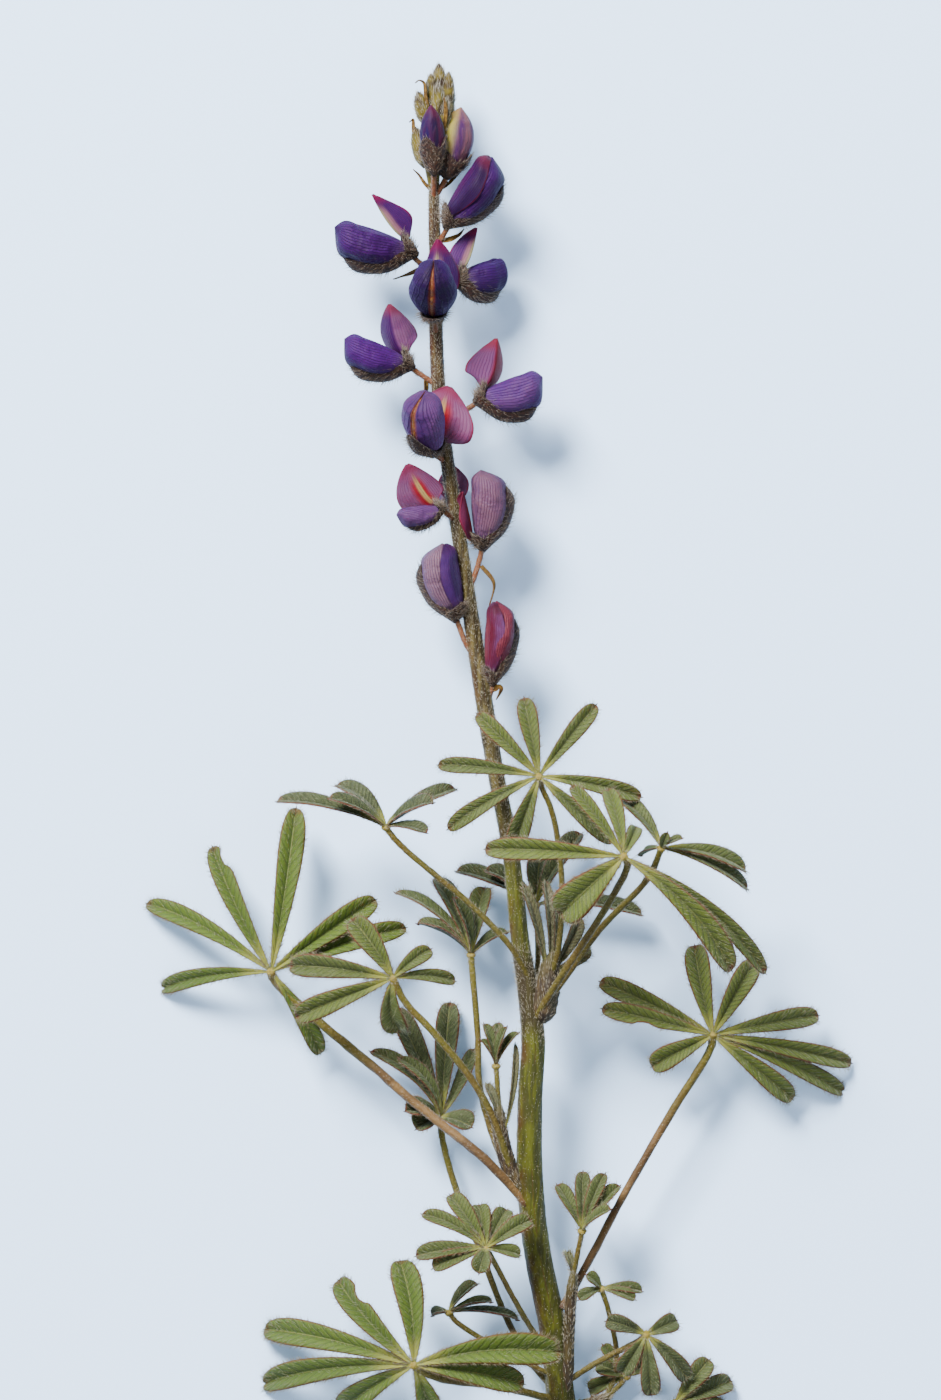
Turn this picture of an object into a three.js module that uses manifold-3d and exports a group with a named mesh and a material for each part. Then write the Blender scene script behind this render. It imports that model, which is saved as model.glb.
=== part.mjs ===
// A cut flowering stem of a small blue lupin, lying on its back on a flat surface.
//
// The stem lies along +Y with its flower spike at the +Y end, and its upper side faces +Z. Every place
// is read off a plan of the lying stem, drawn on a square grid: the first number counts squares to the
// right, the second counts squares from above the spike down towards the cut end, and the third is the
// height above the surface in millimetres. Directions are a heading in the plan, counted in degrees from
// +X towards +Y, and a pitch above the surface.

import * as THREE from 'three';
import Module from 'manifold-3d';

const wasm = await Module();
wasm.setup();

// Driving dimensions, in millimetres.
const STEM_LENGTH = 205.2; // from the tip of the spike to the cut end
const SEAT_GAP = 0.3; // air between two pieces that sit on each other
const BLADE_THICKNESS = 0.9; // a leaflet along its midrib
const PETAL_THICKNESS = 0.6;
const HUB_RADIUS = 1.0; // the small disc where leaflets and leaf stalk meet
const BRACT_RADIUS = 0.32;
const STEM_SIDES = 9;
const STALK_SIDES = 5;

// The plan's grid.
const TIP_ROW = 64;
const CUT_ROW = 1432;
const SQUARE = STEM_LENGTH / (CUT_ROW - TIP_ROW);
const PLAN_CENTRE = { x: 499, y: 748 };

const COLOURS = {
  stem: 0x6f7a2c,
  shoot: 0x4a3a34,
  leaf: 0x6d8050,
  calyx: 0x5b3a38,
  fresh: 0x3d2f86,
  ageing: 0x8c6f9c,
  faded: 0x9c6a86,
  bud: 0x8b8a66,
};

// The stem's centre line: squares right, squares down, height, radius.
const STEM = [
  [566, 1432, 2.11, 2.15],
  [561, 1400, 3.1, 2.1],
  [553, 1330, 5.8, 2.05],
  [537, 1250, 8.5, 2.0],
  [530, 1180, 10.5, 1.95],
  [530, 1100, 12.0, 1.85],
  [533, 1040, 12.5, 1.8],
  [527, 985, 12.6, 1.55],
  [520, 940, 12.5, 1.4],
  [513, 870, 12.2, 1.32],
  [507, 830, 12.0, 1.28],
  [497, 780, 11.8, 1.24],
  [487, 720, 11.5, 1.34],
  [476, 650, 11.2, 1.28],
  [467, 590, 11.0, 1.18],
  [458, 530, 10.7, 1.1],
  [450, 480, 10.5, 1.06],
  [443, 430, 10.3, 1.05],
  [438, 380, 10.0, 1.04],
  [436, 330, 9.8, 1.03],
  [436, 270, 9.5, 1.0],
  [434, 215, 9.0, 0.85],
  [434, 184, 8.8, 0.75],
];

// Leaves. The stalk runs from the hub to the stem. Each leaflet is the place of its tip, with its own width
// in squares where that differs from the leaf's, and the squares that its middle bows to the right of the
// way out. "face" is where the upper side looks.
const LEAVES = [
  {
    name: 'leaf_01',
    hub: [539, 776, 20],
    face: [90, 84],
    width: 24,
    stalkRadius: 0.45,
    stalk: [
      [542, 788, 19], [551, 809, 18], [558, 841, 16.6], [562, 890, 15.6], [558, 950, 15.2],
      [546, 992, 13.4],
    ],
    tips: [
      [477, 714, 18, 18], [524, 698, 19, 20], [596, 705, 19, 19], [438, 765, 18, 17, 2],
      [448, 829, 17.4, 18, 3], [514, 846, 16.6, 22], [641, 797, 19, 18, -2], [613, 842, 19, 19, 1],
    ],
  },
  {
    name: 'leaf_02',
    hub: [623, 856, 29],
    face: [90, 84],
    width: 30,
    stalkRadius: 0.55,
    stalk: [[627, 864, 28], [611, 898, 24], [567, 967, 17.6], [535, 1018, 13.5]],
    tips: [
      [485, 849, 25, 23, 1], [560, 914, 25, 38], [731, 970, 23, 26, -11], [765, 973, 20, 18, -12],
      [571, 786, 25.6, 15, 2], [607, 789, 25, 18, 3], [636, 827, 26, 15],
    ],
  },
  {
    name: 'leaf_03',
    hub: [661, 848, 22],
    face: [70, 50],
    width: 22,
    stalkRadius: 0.5,
    stalk: [[653, 868, 20.6], [643, 884, 19.6], [599, 930, 16.6], [560, 985, 14], [540, 1012, 12.8]],
    tips: [
      [620, 799, 18, 19, 2], [745, 871, 18, 20, -3], [747, 889, 16, 18, -2], [667, 832, 25, 10],
      [682, 838, 24, 10], [641, 856, 18.4, 12],
    ],
  },
  {
    name: 'leaf_04',
    hub: [271, 972, 9],
    face: [90, 84],
    width: 27,
    stalkRadius: 0.7,
    stalk: [
      [275, 981, 8.2], [326, 1028, 8], [377, 1070, 8.6], [404, 1094, 9.2], [441, 1124, 10.6],
      [484, 1158, 12.6], [520, 1196, 11],
    ],
    tips: [
      [146, 904, 0, 21, 6], [161, 990, 0, 19, 5], [212, 847, 3, 22, -4], [296, 808, 6, 26, 2],
      [376, 900, 7, 25], [406, 928, 7, 22, -3], [320, 1054, 3, 19, -3],
    ],
  },
  {
    name: 'leaf_05',
    hub: [393, 978, 16],
    face: [90, 84],
    width: 25,
    stalkRadius: 0.55,
    stalk: [[404, 1000, 15], [436, 1035, 14.4], [474, 1083, 13.6], [494, 1120, 13], [510, 1168, 11.6]],
    tips: [
      [352, 919, 14.5, 25, 2], [290, 966, 13, 24, 2], [296, 1017, 12.6, 24], [400, 1031, 11.6, 25, 7],
      [431, 949, 15.4, 18, -2], [455, 981, 14.6, 15, -4],
    ],
  },
  {
    name: 'leaf_06',
    hub: [386, 827, 17],
    face: [90, 35],
    width: 24,
    stalkRadius: 0.45,
    stalk: [
      [390, 833, 16.9], [406, 850, 16.7], [437, 876, 16.4], [470, 904, 16], [510, 946, 15.6],
      [532, 985, 13],
    ],
    tips: [
      [277, 802, 15, 22], [329, 799, 20, 20], [336, 786, 13, 22, 4], [456, 790, 15, 22],
      [434, 803, 20], [427, 833, 22, 18],
    ],
  },
  {
    name: 'leaf_07',
    hub: [471, 955, 9.5],
    face: [90, 25],
    width: 22,
    stalkRadius: 0.48,
    stalk: [[472, 968, 9.6], [478, 1039, 10], [479, 1080, 10.2], [489, 1125, 10.4], [502, 1160, 10.8]],
    tips: [
      [395, 893, 8, 20, 4], [417, 924, 12, 20, 2], [435, 879, 5], [453, 898, 12.4], [485, 888, 5],
      [508, 933, 7.4, 17],
    ],
  },
  {
    name: 'leaf_08',
    hub: [713, 1035, 9],
    face: [90, 82],
    width: 24,
    stalkRadius: 0.6,
    stalk: [[711, 1048, 8.4], [674, 1109, 8], [623, 1197, 7.8], [587, 1265, 7.8], [567, 1300, 7.2]],
    tips: [
      [600, 982, 6, 22], [602, 1009, 9, 20], [652, 1067, 7], [695, 946, 6, 25, -2], [755, 962, 7],
      [819, 1016, 4, 22], [852, 1064, 0, 20], [845, 1094, 0, 19, -3], [793, 1100, 2.4, 22],
    ],
  },
  {
    name: 'leaf_09',
    hub: [441, 1118, 4.4],
    face: [90, 50],
    width: 26,
    stalkRadius: 0.5,
    stalk: [
      [441, 1130, 4.2], [446, 1156, 4], [457, 1193, 3.8], [480, 1250, 3.6], [503, 1311, 3.4],
      [530, 1362, 3.4], [556, 1392, 3.4],
    ],
    tips: [
      [370, 1052, 4.4, 18, 8], [398, 1058, 7.6, 16, 7], [395, 1009, 1.6, 24], [450, 1003, 1.4, 24],
      [405, 1112, 7.4], [416, 1130, 6.6], [472, 1128, 6.4], [474, 1050, 2, 15, 4],
    ],
  },
  {
    name: 'leaf_10',
    hub: [486, 1248, 15],
    face: [90, 62],
    width: 20,
    stalkRadius: 0.42,
    stalk: [[491, 1256, 14.2], [508, 1288, 12], [527, 1322, 9], [546, 1350, 6]],
    tips: [
      [422, 1214, 14, 17, 3], [450, 1195, 13], [479, 1205, 11.6], [507, 1210, 12], [531, 1220, 13.6],
      [520, 1255, 15.4, 15], [416, 1256, 14], [433, 1268, 16], [479, 1273, 17.4],
    ],
  },
  {
    name: 'leaf_11',
    hub: [414, 1365, 13],
    face: [90, 84],
    width: 30,
    stalkRadius: 0.6,
    stalk: [[426, 1373, 12.2], [447, 1380, 11], [500, 1387, 7.4], [552, 1400, 4.2]],
    tips: [
      [264, 1331, 0, 28, 4], [263, 1386, 0, 27, 6], [338, 1281, 6, 26, -5], [400, 1261, 9, 30, 5],
      [340, 1415, 3, 28, 4], [432, 1430, 5, 31, -3], [561, 1352, 12.8, 33, -7], [524, 1384, 12.6, 28, -2],
    ],
  },
  {
    name: 'leaf_12',
    hub: [449, 1313, 6.6],
    face: [90, 25],
    width: 18,
    stalkRadius: 0.4,
    stalk: [[456, 1322, 6.4], [500, 1350, 6], [548, 1374, 5]],
    tips: [
      [478, 1285, 5], [432, 1317, 7], [492, 1303, 7.4], [518, 1321, 6.4],
    ],
  },
  {
    name: 'leaf_13',
    hub: [646, 1335, 8],
    face: [90, 84],
    width: 20,
    stalkRadius: 0.45,
    stalk: [[639, 1341, 7.4], [594, 1365, 5.8], [568, 1382, 4.6]],
    tips: [
      [606, 1322, 7.4, 18, 2], [677, 1321, 7], [687, 1380, 4.6, 19, -3], [622, 1374, 7.4],
      [652, 1396, 5.6],
    ],
  },
  {
    name: 'leaf_14',
    hub: [536, 905, 5.4],
    face: [90, 35],
    width: 24,
    stalkRadius: 0.45,
    stalk: [[537, 918, 5.8], [538, 960, 7.2], [535, 995, 9.2], [530, 1015, 11]],
    tips: [[456, 872, 4], [485, 871, 7.6], [540, 858, 2.6], [582, 834, 4], [642, 916, 4.4]],
  },
];

// The young side shoots: a short sheath on the stem, narrow folded leaflets in a tuft, and small leaves.
const SHOOTS = [
  {
    name: 'side_shoot_top',
    sheath: [[540, 1024, 12.8, 1.8], [548, 985, 13.2, 1.85], [552, 952, 13.4, 1.2]],
    tuft: [
      { root: [546, 975, 13.4], tip: [523, 884, 14.4], width: 12 },
      { root: [549, 972, 13.0], tip: [545, 881, 12.6], width: 12 },
      { root: [552, 970, 13.4], tip: [556, 892, 12.2], width: 10 },
      { root: [554, 968, 13.0], tip: [579, 917, 13.4], width: 16 },
      { root: [554, 972, 13.4], tip: [590, 948, 13.8], width: 14 },
    ],
    leaves: [],
  },
  {
    name: 'side_shoot_left',
    sheath: [
      [526, 1200, 10.6, 1.3], [508, 1165, 11.0, 1.25], [500, 1132, 11.2, 1.15],
      [498, 1100, 11.3, 0.75],
    ],
    tuft: [
      { root: [503, 1135, 11.2], tip: [515, 1044, 11], width: 8 },
      { root: [499, 1120, 11.2], tip: [486, 1084, 11.4], width: 10 },
    ],
    leaves: [
      {
        hub: [496, 1066, 11.4],
        face: [90, 25],
        width: 12,
        stalkRadius: 0.4,
        stalk: [[497, 1080, 11.4], [499, 1108, 11.3]],
        tips: [[484, 1024, 11], [480, 1040, 13], [499, 1023, 9.6], [507, 1027, 13.4], [519, 1033, 11]],
      },
    ],
  },
  {
    name: 'side_shoot_right',
    sheath: [[566, 1396, 4.6, 1.0], [569, 1340, 6.8, 0.8], [570, 1310, 8.0, 0.85], [574, 1268, 9.4, 0.9]],
    tuft: [
      { root: [573, 1275, 9.2], tip: [566, 1252, 9.6], width: 9 },
    ],
    leaves: [
      {
        hub: [582, 1231, 11],
        face: [90, 45],
        width: 16,
        stalkRadius: 0.4,
        stalk: [[580, 1242, 10.6], [574, 1272, 9.3]],
        tips: [[557, 1185, 9.6], [583, 1172, 10], [605, 1174, 9.8], [620, 1186, 11.2], [611, 1209, 14]],
      },
    ],
  },
  {
    name: 'side_shoot_low',
    sheath: [[566, 1410, 2.9, 0.95], [592, 1404, 3.2, 0.8], [612, 1396, 3.4, 0.6]],
    tuft: [],
    leaves: [
      {
        hub: [601, 1289, 8.6],
        face: [90, 55],
        width: 14,
        stalkRadius: 0.4,
        stalk: [[606, 1302, 8], [613, 1330, 6], [617, 1356, 4.4], [614, 1380, 3.4], [606, 1398, 3.3]],
        tips: [[642, 1292, 7.6], [635, 1300, 9.8], [586, 1275, 9.4], [579, 1300, 10.6]],
      },
      {
        hub: [627, 1377, 3.2],
        face: [90, 75],
        width: 20,
        stalkRadius: 0.4,
        stalk: [[620, 1386, 3.2], [608, 1397, 3.3]],
        tips: [[597, 1366, 2.6], [590, 1392, 1.4, 17], [603, 1346, 2.6, 13], [652, 1362, 2.4]],
      },
      {
        hub: [676, 1404, 4],
        face: [90, 80],
        width: 22,
        stalkRadius: 0.45,
        stalk: [[664, 1410, 3.6], [630, 1408, 3.2], [600, 1402, 3.2]],
        tips: [[710, 1361, 2.4], [732, 1383, 1.2], [724, 1412, 0.6], [689, 1424, 0.6], [646, 1423, 1.4]],
      },
    ],
  },
];

// Flowers, from the top of the spike down. "aim" is where the wings point and "banner" the side that the
// banner stands on; "open" is the angle between them. The stalk runs from the calyx into the stem.
const FLOWERS = [
  {
    name: 'flower_01',
    base: [450, 221, 11],
    aim: [52, 10],
    banner: [144, 16],
    length: 11.6,
    open: 4,
    fold: -60,
    bannerLength: 0.6,
    depth: 0.94,
    bannerWidth: 0.6,
    bract: [[441, 241, 9.9], [452, 239, 9.5], [460, 235, 9.5], [464, 229, 9.8]],
    colour: 'fresh',
    stalk: [[445, 232, 10.4], [435, 250, 9.3]],
  },
  {
    name: 'flower_02',
    base: [409, 252, 10.4],
    aim: [166, 8],
    banner: [76, 6],
    length: 11.8,
    open: 50,
    fold: 74,
    bannerWidth: 0.66,
    bannerLength: 0.54,
    roll: 25,
    colour: 'fresh',
    stalk: [[420, 263, 10], [436, 272, 9.5]],
    bract: [[424, 267, 9.9], [408, 273, 9.2], [393, 279, 8.6]],
  },
  {
    name: 'flower_03',
    base: [434, 313, 13.4],
    aim: [91, 52],
    banner: [84, -38],
    length: 11.4,
    open: 52,
    fold: 44,
    bannerWidth: 0.8,
    lobes: [1.1, 0.6],
    colour: 'fresh',
    stalk: [[435, 323, 11.8], [436, 336, 9.8]],
  },
  {
    name: 'flower_04',
    base: [459, 281, 10.4],
    aim: [14, -30],
    banner: [104, 10],
    length: 8.4,
    depth: 1.25,
    open: 68,
    fold: 62,
    bannerLength: 0.68,
    bannerWidth: 0.9,
    roll: -72,
    colour: 'fresh',
    stalk: [[450, 290, 9.6], [436, 300, 9.6]],
  },
  {
    name: 'flower_05',
    base: [407, 365, 10.6],
    aim: [162, 8],
    banner: [72, 6],
    length: 10.2,
    open: 68,
    fold: 58,
    bannerWidth: 0.94,
    roll: 72,
    colour: 'fresh',
    stalk: [[420, 374, 10.2], [438, 386, 10]],
    bract: [[426, 378, 10.2], [424, 392, 9.6], [414, 398, 9.2]],
  },
  {
    name: 'flower_06',
    base: [481, 400, 10.2],
    aim: [15, 4],
    banner: [105, 4],
    length: 9.8,
    open: 74,
    fold: 54,
    bannerLength: 0.66,
    depth: 1.2,
    bannerWidth: 1.05,
    roll: -60,
    colour: 'ageing',
    stalk: [[466, 410, 9.6], [442, 426, 10.2]],
  },
  {
    name: 'flower_07',
    base: [431, 450, 13.4],
    aim: [99, 42],
    banner: [36, -46],
    length: 11.2,
    open: 48,
    fold: 14,
    bannerLength: 0.55,
    bannerWidth: 1.1,
    colour: 'ageing',
    stalk: [[437, 456, 12.2], [446, 462, 10.4]],
  },
  {
    name: 'flower_08',
    base: [441, 509, 12.8],
    aim: [192, 14],
    banner: [108, 12],
    length: 6.9,
    open: 74,
    fold: 24,
    bannerLength: 1.0,
    bannerWidth: 1.38,
    depth: 0.9,
    roll: 66,
    lobes: [0.7, 1.2],
    colour: 'ageing',
    stalk: [[447, 514, 12.2], [456, 521, 10.6]],
  },
  {
    name: 'flower_09',
    base: [483, 543, 11.2],
    aim: [87, 8],
    banner: [174, 12],
    length: 11,
    open: 18,
    fold: 40,
    bannerLength: 0.42,
    bannerWidth: 0.7,
    colour: 'faded',
    stalk: [[481, 553, 11.2], [476, 572, 11.1], [468, 592, 11]],
    bract: [[481, 566, 11.2], [493, 584, 10.8], [489, 606, 10.4]],
  },
  {
    name: 'flower_10',
    base: [454, 614, 11.8],
    aim: [104, 8],
    banner: [16, 20],
    length: 10.8,
    open: 6,
    fold: -50,
    bannerWidth: 0.6,
    colour: 'ageing',
    stalk: [[459, 626, 11.8], [465, 642, 11.6], [478, 662, 11.2]],
  },
  {
    name: 'flower_11',
    base: [493, 678, 11.8],
    aim: [84, 6],
    banner: [174, 20],
    length: 11.6,
    breadth: 0.7,
    depth: 0.72,
    open: 12,
    fold: -40,
    bannerLength: 0.5,
    bannerWidth: 0.55,
    colour: 'faded',
    stalk: [[492, 687, 11.7], [486, 708, 11.5]],
    bract: [[491, 690, 11.6], [500, 688, 12.2], [496, 700, 12.4]],
  },
  {
    name: 'flower_12',
    base: [450, 510, 6.6],
    aim: [88, -52],
    banner: [80, 38],
    length: 7.2,
    breadth: 0.85,
    open: 30,
    fold: 50,
    colour: 'ageing',
    stalk: [[455, 511, 9.2], [454, 515, 10.6]],
  },
];

// The two flowers that are about to open, low on the spike's closed head.
const OPENING_BUDS = [
  {
    name: 'opening_bud_01',
    base: [434, 170, 12.0],
    tip: [431, 105, 13.6],
    halfWidth: 1.75,
    cupShare: 0.34,
    colour: 'fresh',
    stalk: [[434, 184, 10.4], [434, 200, 8.9]],
  },
  {
    name: 'opening_bud_02',
    base: [448, 173, 9.6],
    tip: [461, 107, 9.4],
    halfWidth: 2.6,
    cupShare: 0.16,
    colour: 'ageing',
    stalk: [[444, 182, 9.4], [434, 198, 8.9]],
  },
];

// The closed head: a slim core with small, plump buds set round it.
const HEAD = {
  core: [
    [434, 188, 8.8, 0.8],
    [432, 150, 8.6, 1.5],
    [437, 112, 8.4, 1.6],
    [441, 84, 8.0, 1.0],
  ],
  buds: [
    { root: [440, 100, 8.2], tip: [439, 64, 8.4], halfWidth: 1.3 },
    { root: [446, 124, 8.4], tip: [449, 71, 8.8], halfWidth: 1.35 },
    { root: [434, 112, 9.0], tip: [431, 73, 9.2], halfWidth: 1.3 },
    { root: [428, 126, 9.2], tip: [418, 91, 9.4], halfWidth: 1.4 },
    { root: [425, 168, 8.4], tip: [415, 126, 8.4], halfWidth: 1.4 },
    { root: [438, 126, 10.2], tip: [438, 84, 10.2], halfWidth: 1.2 },
    { root: [442, 142, 10.2], tip: [446, 98, 10.6], halfWidth: 1.1 },
    { root: [436, 150, 6.9], tip: [428, 105, 6.4], halfWidth: 1.4 },
    { root: [444, 150, 6.8], tip: [453, 106, 6.4], halfWidth: 1.4 },
    { root: [440, 122, 6.8], tip: [441, 80, 6.8], halfWidth: 1.2 },
    { root: [433, 172, 7.2], tip: [424, 132, 6.4], halfWidth: 1.3 },
  ],
};

const radians = THREE.MathUtils.degToRad;
const lerp = THREE.MathUtils.lerp;

function place([right, down, height]) {
  return new THREE.Vector3((right - PLAN_CENTRE.x) * SQUARE, (PLAN_CENTRE.y - down) * SQUARE, height);
}

function direction([heading, pitch]) {
  const flat = Math.cos(radians(pitch));
  const turn = radians(heading);
  return new THREE.Vector3(flat * Math.cos(turn), flat * Math.sin(turn), Math.sin(radians(pitch)));
}

// The part of a direction that is square to an axis.
function squareTo(axis, vector) {
  return vector.clone().addScaledVector(axis, -vector.dot(axis) / axis.lengthSq()).normalize();
}

// A point from a centre and a list of [direction, distance] pairs.
function offset(centre, ...steps) {
  const point = centre.clone();
  for (const [way, distance] of steps) point.addScaledVector(way, distance);
  return point;
}

// A closed body through rings of points. A ring of one point is a sharp end; a longer one gets a flat cap.
function loft(rings) {
  const points = [];
  const triangles = [];
  const starts = rings.map((ring) => {
    const start = points.length;
    points.push(...ring);
    return start;
  });
  const cap = (ring, start, flip) => {
    if (ring.length === 1) return;
    const middle = ring.reduce((sum, point) => sum.add(point), new THREE.Vector3()).divideScalar(ring.length);
    const centre = points.push(middle) - 1;
    ring.forEach((_, i) => {
      const a = start + i;
      const b = start + ((i + 1) % ring.length);
      triangles.push(flip ? [centre, b, a] : [centre, a, b]);
    });
  };
  for (let r = 0; r + 1 < rings.length; r += 1) {
    const [low, high] = [starts[r], starts[r + 1]];
    const [lowCount, highCount] = [rings[r].length, rings[r + 1].length];
    const count = Math.max(lowCount, highCount);
    for (let i = 0; i < count; i += 1) {
      const next = (i + 1) % count;
      if (lowCount === 1) triangles.push([low, high + next, high + i]);
      else if (highCount === 1) triangles.push([low + i, low + next, high]);
      else triangles.push([low + i, low + next, high + next], [low + i, high + next, high + i]);
    }
  }
  cap(rings[0], starts[0], true);
  cap(rings[rings.length - 1], starts[rings.length - 1], false);
  return solid(points, triangles);
}

// A thin closed sheet between two grids of points with rows and columns alike.
function sheet(front, back) {
  const rows = front.length;
  const columns = front[0].length;
  const points = [...front.flat(), ...back.flat()];
  const half = rows * columns;
  const at = (row, column) => row * columns + column;
  const triangles = [];
  const quad = (a, b, c, d) => triangles.push([a, b, c], [a, c, d]);
  for (let row = 0; row + 1 < rows; row += 1) {
    for (let column = 0; column + 1 < columns; column += 1) {
      const [a, b] = [at(row, column), at(row, column + 1)];
      const [c, d] = [at(row + 1, column + 1), at(row + 1, column)];
      triangles.push([a, b, c], [a, c, d], [half + a, half + c, half + b], [half + a, half + d, half + c]);
    }
    const last = columns - 1;
    quad(at(row, 0), at(row + 1, 0), half + at(row + 1, 0), half + at(row, 0));
    quad(at(row + 1, last), at(row, last), half + at(row, last), half + at(row + 1, last));
  }
  for (let column = 0; column + 1 < columns; column += 1) {
    const last = rows - 1;
    quad(at(0, column + 1), at(0, column), half + at(0, column), half + at(0, column + 1));
    quad(at(last, column), at(last, column + 1), half + at(last, column + 1), half + at(last, column));
  }
  return solid(points, triangles);
}

// A solid from points and triangles, with its faces turned out.
function solid(points, triangles) {
  const volume = triangles.reduce((sum, [a, b, c]) => {
    const normal = new THREE.Vector3().crossVectors(points[b], points[c]);
    return sum + points[a].dot(normal);
  }, 0);
  const faces = volume < 0 ? triangles.map(([a, b, c]) => [a, c, b]) : triangles;
  return new wasm.Manifold(
    new wasm.Mesh({
      numProp: 3,
      vertProperties: new Float32Array(points.flatMap((point) => point.toArray())),
      triVerts: new Uint32Array(faces.flat()),
    }),
  );
}

function join(solids) {
  return solids.reduce((whole, piece) => whole.add(piece));
}

// What is left of a piece after its neighbours' seats are cut, without loose scraps.
function seat(piece, neighbours) {
  const cut = neighbours.reduce((rest, neighbour) => rest.subtract(neighbour), piece);
  const bodies = cut.decompose();
  return bodies.reduce((largest, body) => (body.volume() > largest.volume() ? body : largest));
}

// A round stalk along a smooth line. Each point is a place with a radius as its fourth number.
function stalk(line, sides, stepsPerSpan, growth = 0) {
  const curve = new THREE.CatmullRomCurve3(line.map(place), false, 'centripetal');
  const spans = line.length - 1;
  const steps = spans * stepsPerSpan;
  let side = squareTo(curve.getTangent(0), new THREE.Vector3(0.3, 0.2, 1));
  const rings = [];
  for (let step = 0; step <= steps; step += 1) {
    const centre = curve.getPoint(step / steps);
    const tangent = curve.getTangent(step / steps);
    side = squareTo(tangent, side);
    const other = new THREE.Vector3().crossVectors(tangent, side);
    const span = Math.min(Math.floor(step / stepsPerSpan), spans - 1);
    const radius = lerp(line[span][3], line[span + 1][3], step / stepsPerSpan - span) + growth;
    rings.push(
      Array.from({ length: sides }, (_, i) => {
        const turn = (2 * Math.PI * i) / sides;
        return offset(centre, [side, radius * Math.cos(turn)], [other, radius * Math.sin(turn)]);
      }),
    );
  }
  return loft(rings);
}

function withRadius(line, radius) {
  return line.map((point) => [...point.slice(0, 3), radius]);
}

// A leaflet's half width along its midrib, as shares of its length and of its full half width.
const LEAFLET_OUTLINE = [
  [0.1, 0.28],
  [0.4, 0.72],
  [0.7, 1.0],
  [0.93, 0.66],
];
const LEAFLET_FOLD = 0.42; // rise of the margins above the midrib, as a share of the half width
const LEAFLET_ARCH = 0.07; // rise of the middle above the straight line to the tip, as a share of it

// A leaflet from root to tip: broadest past its middle, folded along the midrib and arched.
function leaflet(root, tip, face, width, bow = 0) {
  const run = new THREE.Vector3().subVectors(tip, root);
  const length = run.length();
  const up = squareTo(run, face);
  const side = new THREE.Vector3().crossVectors(run, up).normalize();
  const bowWay = new THREE.Vector3(run.y, -run.x, 0).normalize();
  const rings = LEAFLET_OUTLINE.map(([share, spread]) => {
    const rise = LEAFLET_ARCH * length * 4 * share * (1 - share);
    const slope = LEAFLET_ARCH * length * (4 - 8 * share);
    const centre = offset(root, [run, share], [up, rise], [bowWay, bow * SQUARE * 4 * share * (1 - share)]);
    const tangent = offset(run, [up, slope]).normalize();
    const top = new THREE.Vector3().crossVectors(side, tangent).normalize();
    const half = (spread * width * SQUARE) / 2;
    const lift = LEAFLET_FOLD * half;
    return [
      offset(centre, [side, -half], [top, lift]),
      offset(centre, [top, BLADE_THICKNESS / 2]),
      offset(centre, [side, half], [top, lift]),
      offset(centre, [top, -BLADE_THICKNESS / 2]),
    ];
  });
  return loft([[root], ...rings, [tip]]);
}

// The small disc that the leaflets and the stalk grow from.
function hubDisc(centre, face) {
  const side = squareTo(face, new THREE.Vector3(1, 0.1, 0.1));
  const other = new THREE.Vector3().crossVectors(face, side);
  const ring = Array.from({ length: 6 }, (_, i) => {
    const turn = (Math.PI * i) / 3;
    return offset(centre, [side, HUB_RADIUS * Math.cos(turn)], [other, HUB_RADIUS * Math.sin(turn)]);
  });
  return loft([[offset(centre, [face, -0.75])], ring, [offset(centre, [face, 0.65])]]);
}

function leaf({ hub, face, width, stalkRadius, stalk: line, tips }) {
  const centre = place(hub);
  const upper = direction(face);
  const blades = tips.map(([right, down, height, own, bow]) =>
    leaflet(centre, place([right, down, height]), upper, own ?? width, bow),
  );
  const carrier = stalk(withRadius([hub, ...line], stalkRadius), STALK_SIDES, 1);
  return join([hubDisc(centre, upper), carrier, ...blades]);
}

function shoot({ sheath, tuft, leaves }, growth = 0) {
  const sleeve = stalk(sheath, 6, 1, growth);
  if (growth > 0) return sleeve;
  const upper = direction([0, 60]);
  const young = tuft.map(({ root, tip, width }) => leaflet(place(root), place(tip), upper, width));
  return join([sleeve, ...young, ...leaves.map(leaf)]);
}

// Wings in profile, as shares of the flower's length: how far forward, lower edge, upper edge, half breadth.
const WING_PROFILE = [
  [0.03, -0.08, 0.08, 0.08],
  [0.38, -0.28, 0.15, 0.26],
  [0.7, -0.28, 0.17, 0.27],
  [0.92, -0.15, 0.16, 0.15],
];
const WING_TIP = [1.0, 0.08];

// The directions that a flower is built along: forward, towards the banner, and across.
function flowerAxes({ base, aim, banner }) {
  const forward = direction(aim);
  const up = squareTo(forward, direction(banner));
  const across = new THREE.Vector3().crossVectors(forward, up);
  return { origin: place(base), forward, up, across };
}

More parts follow.
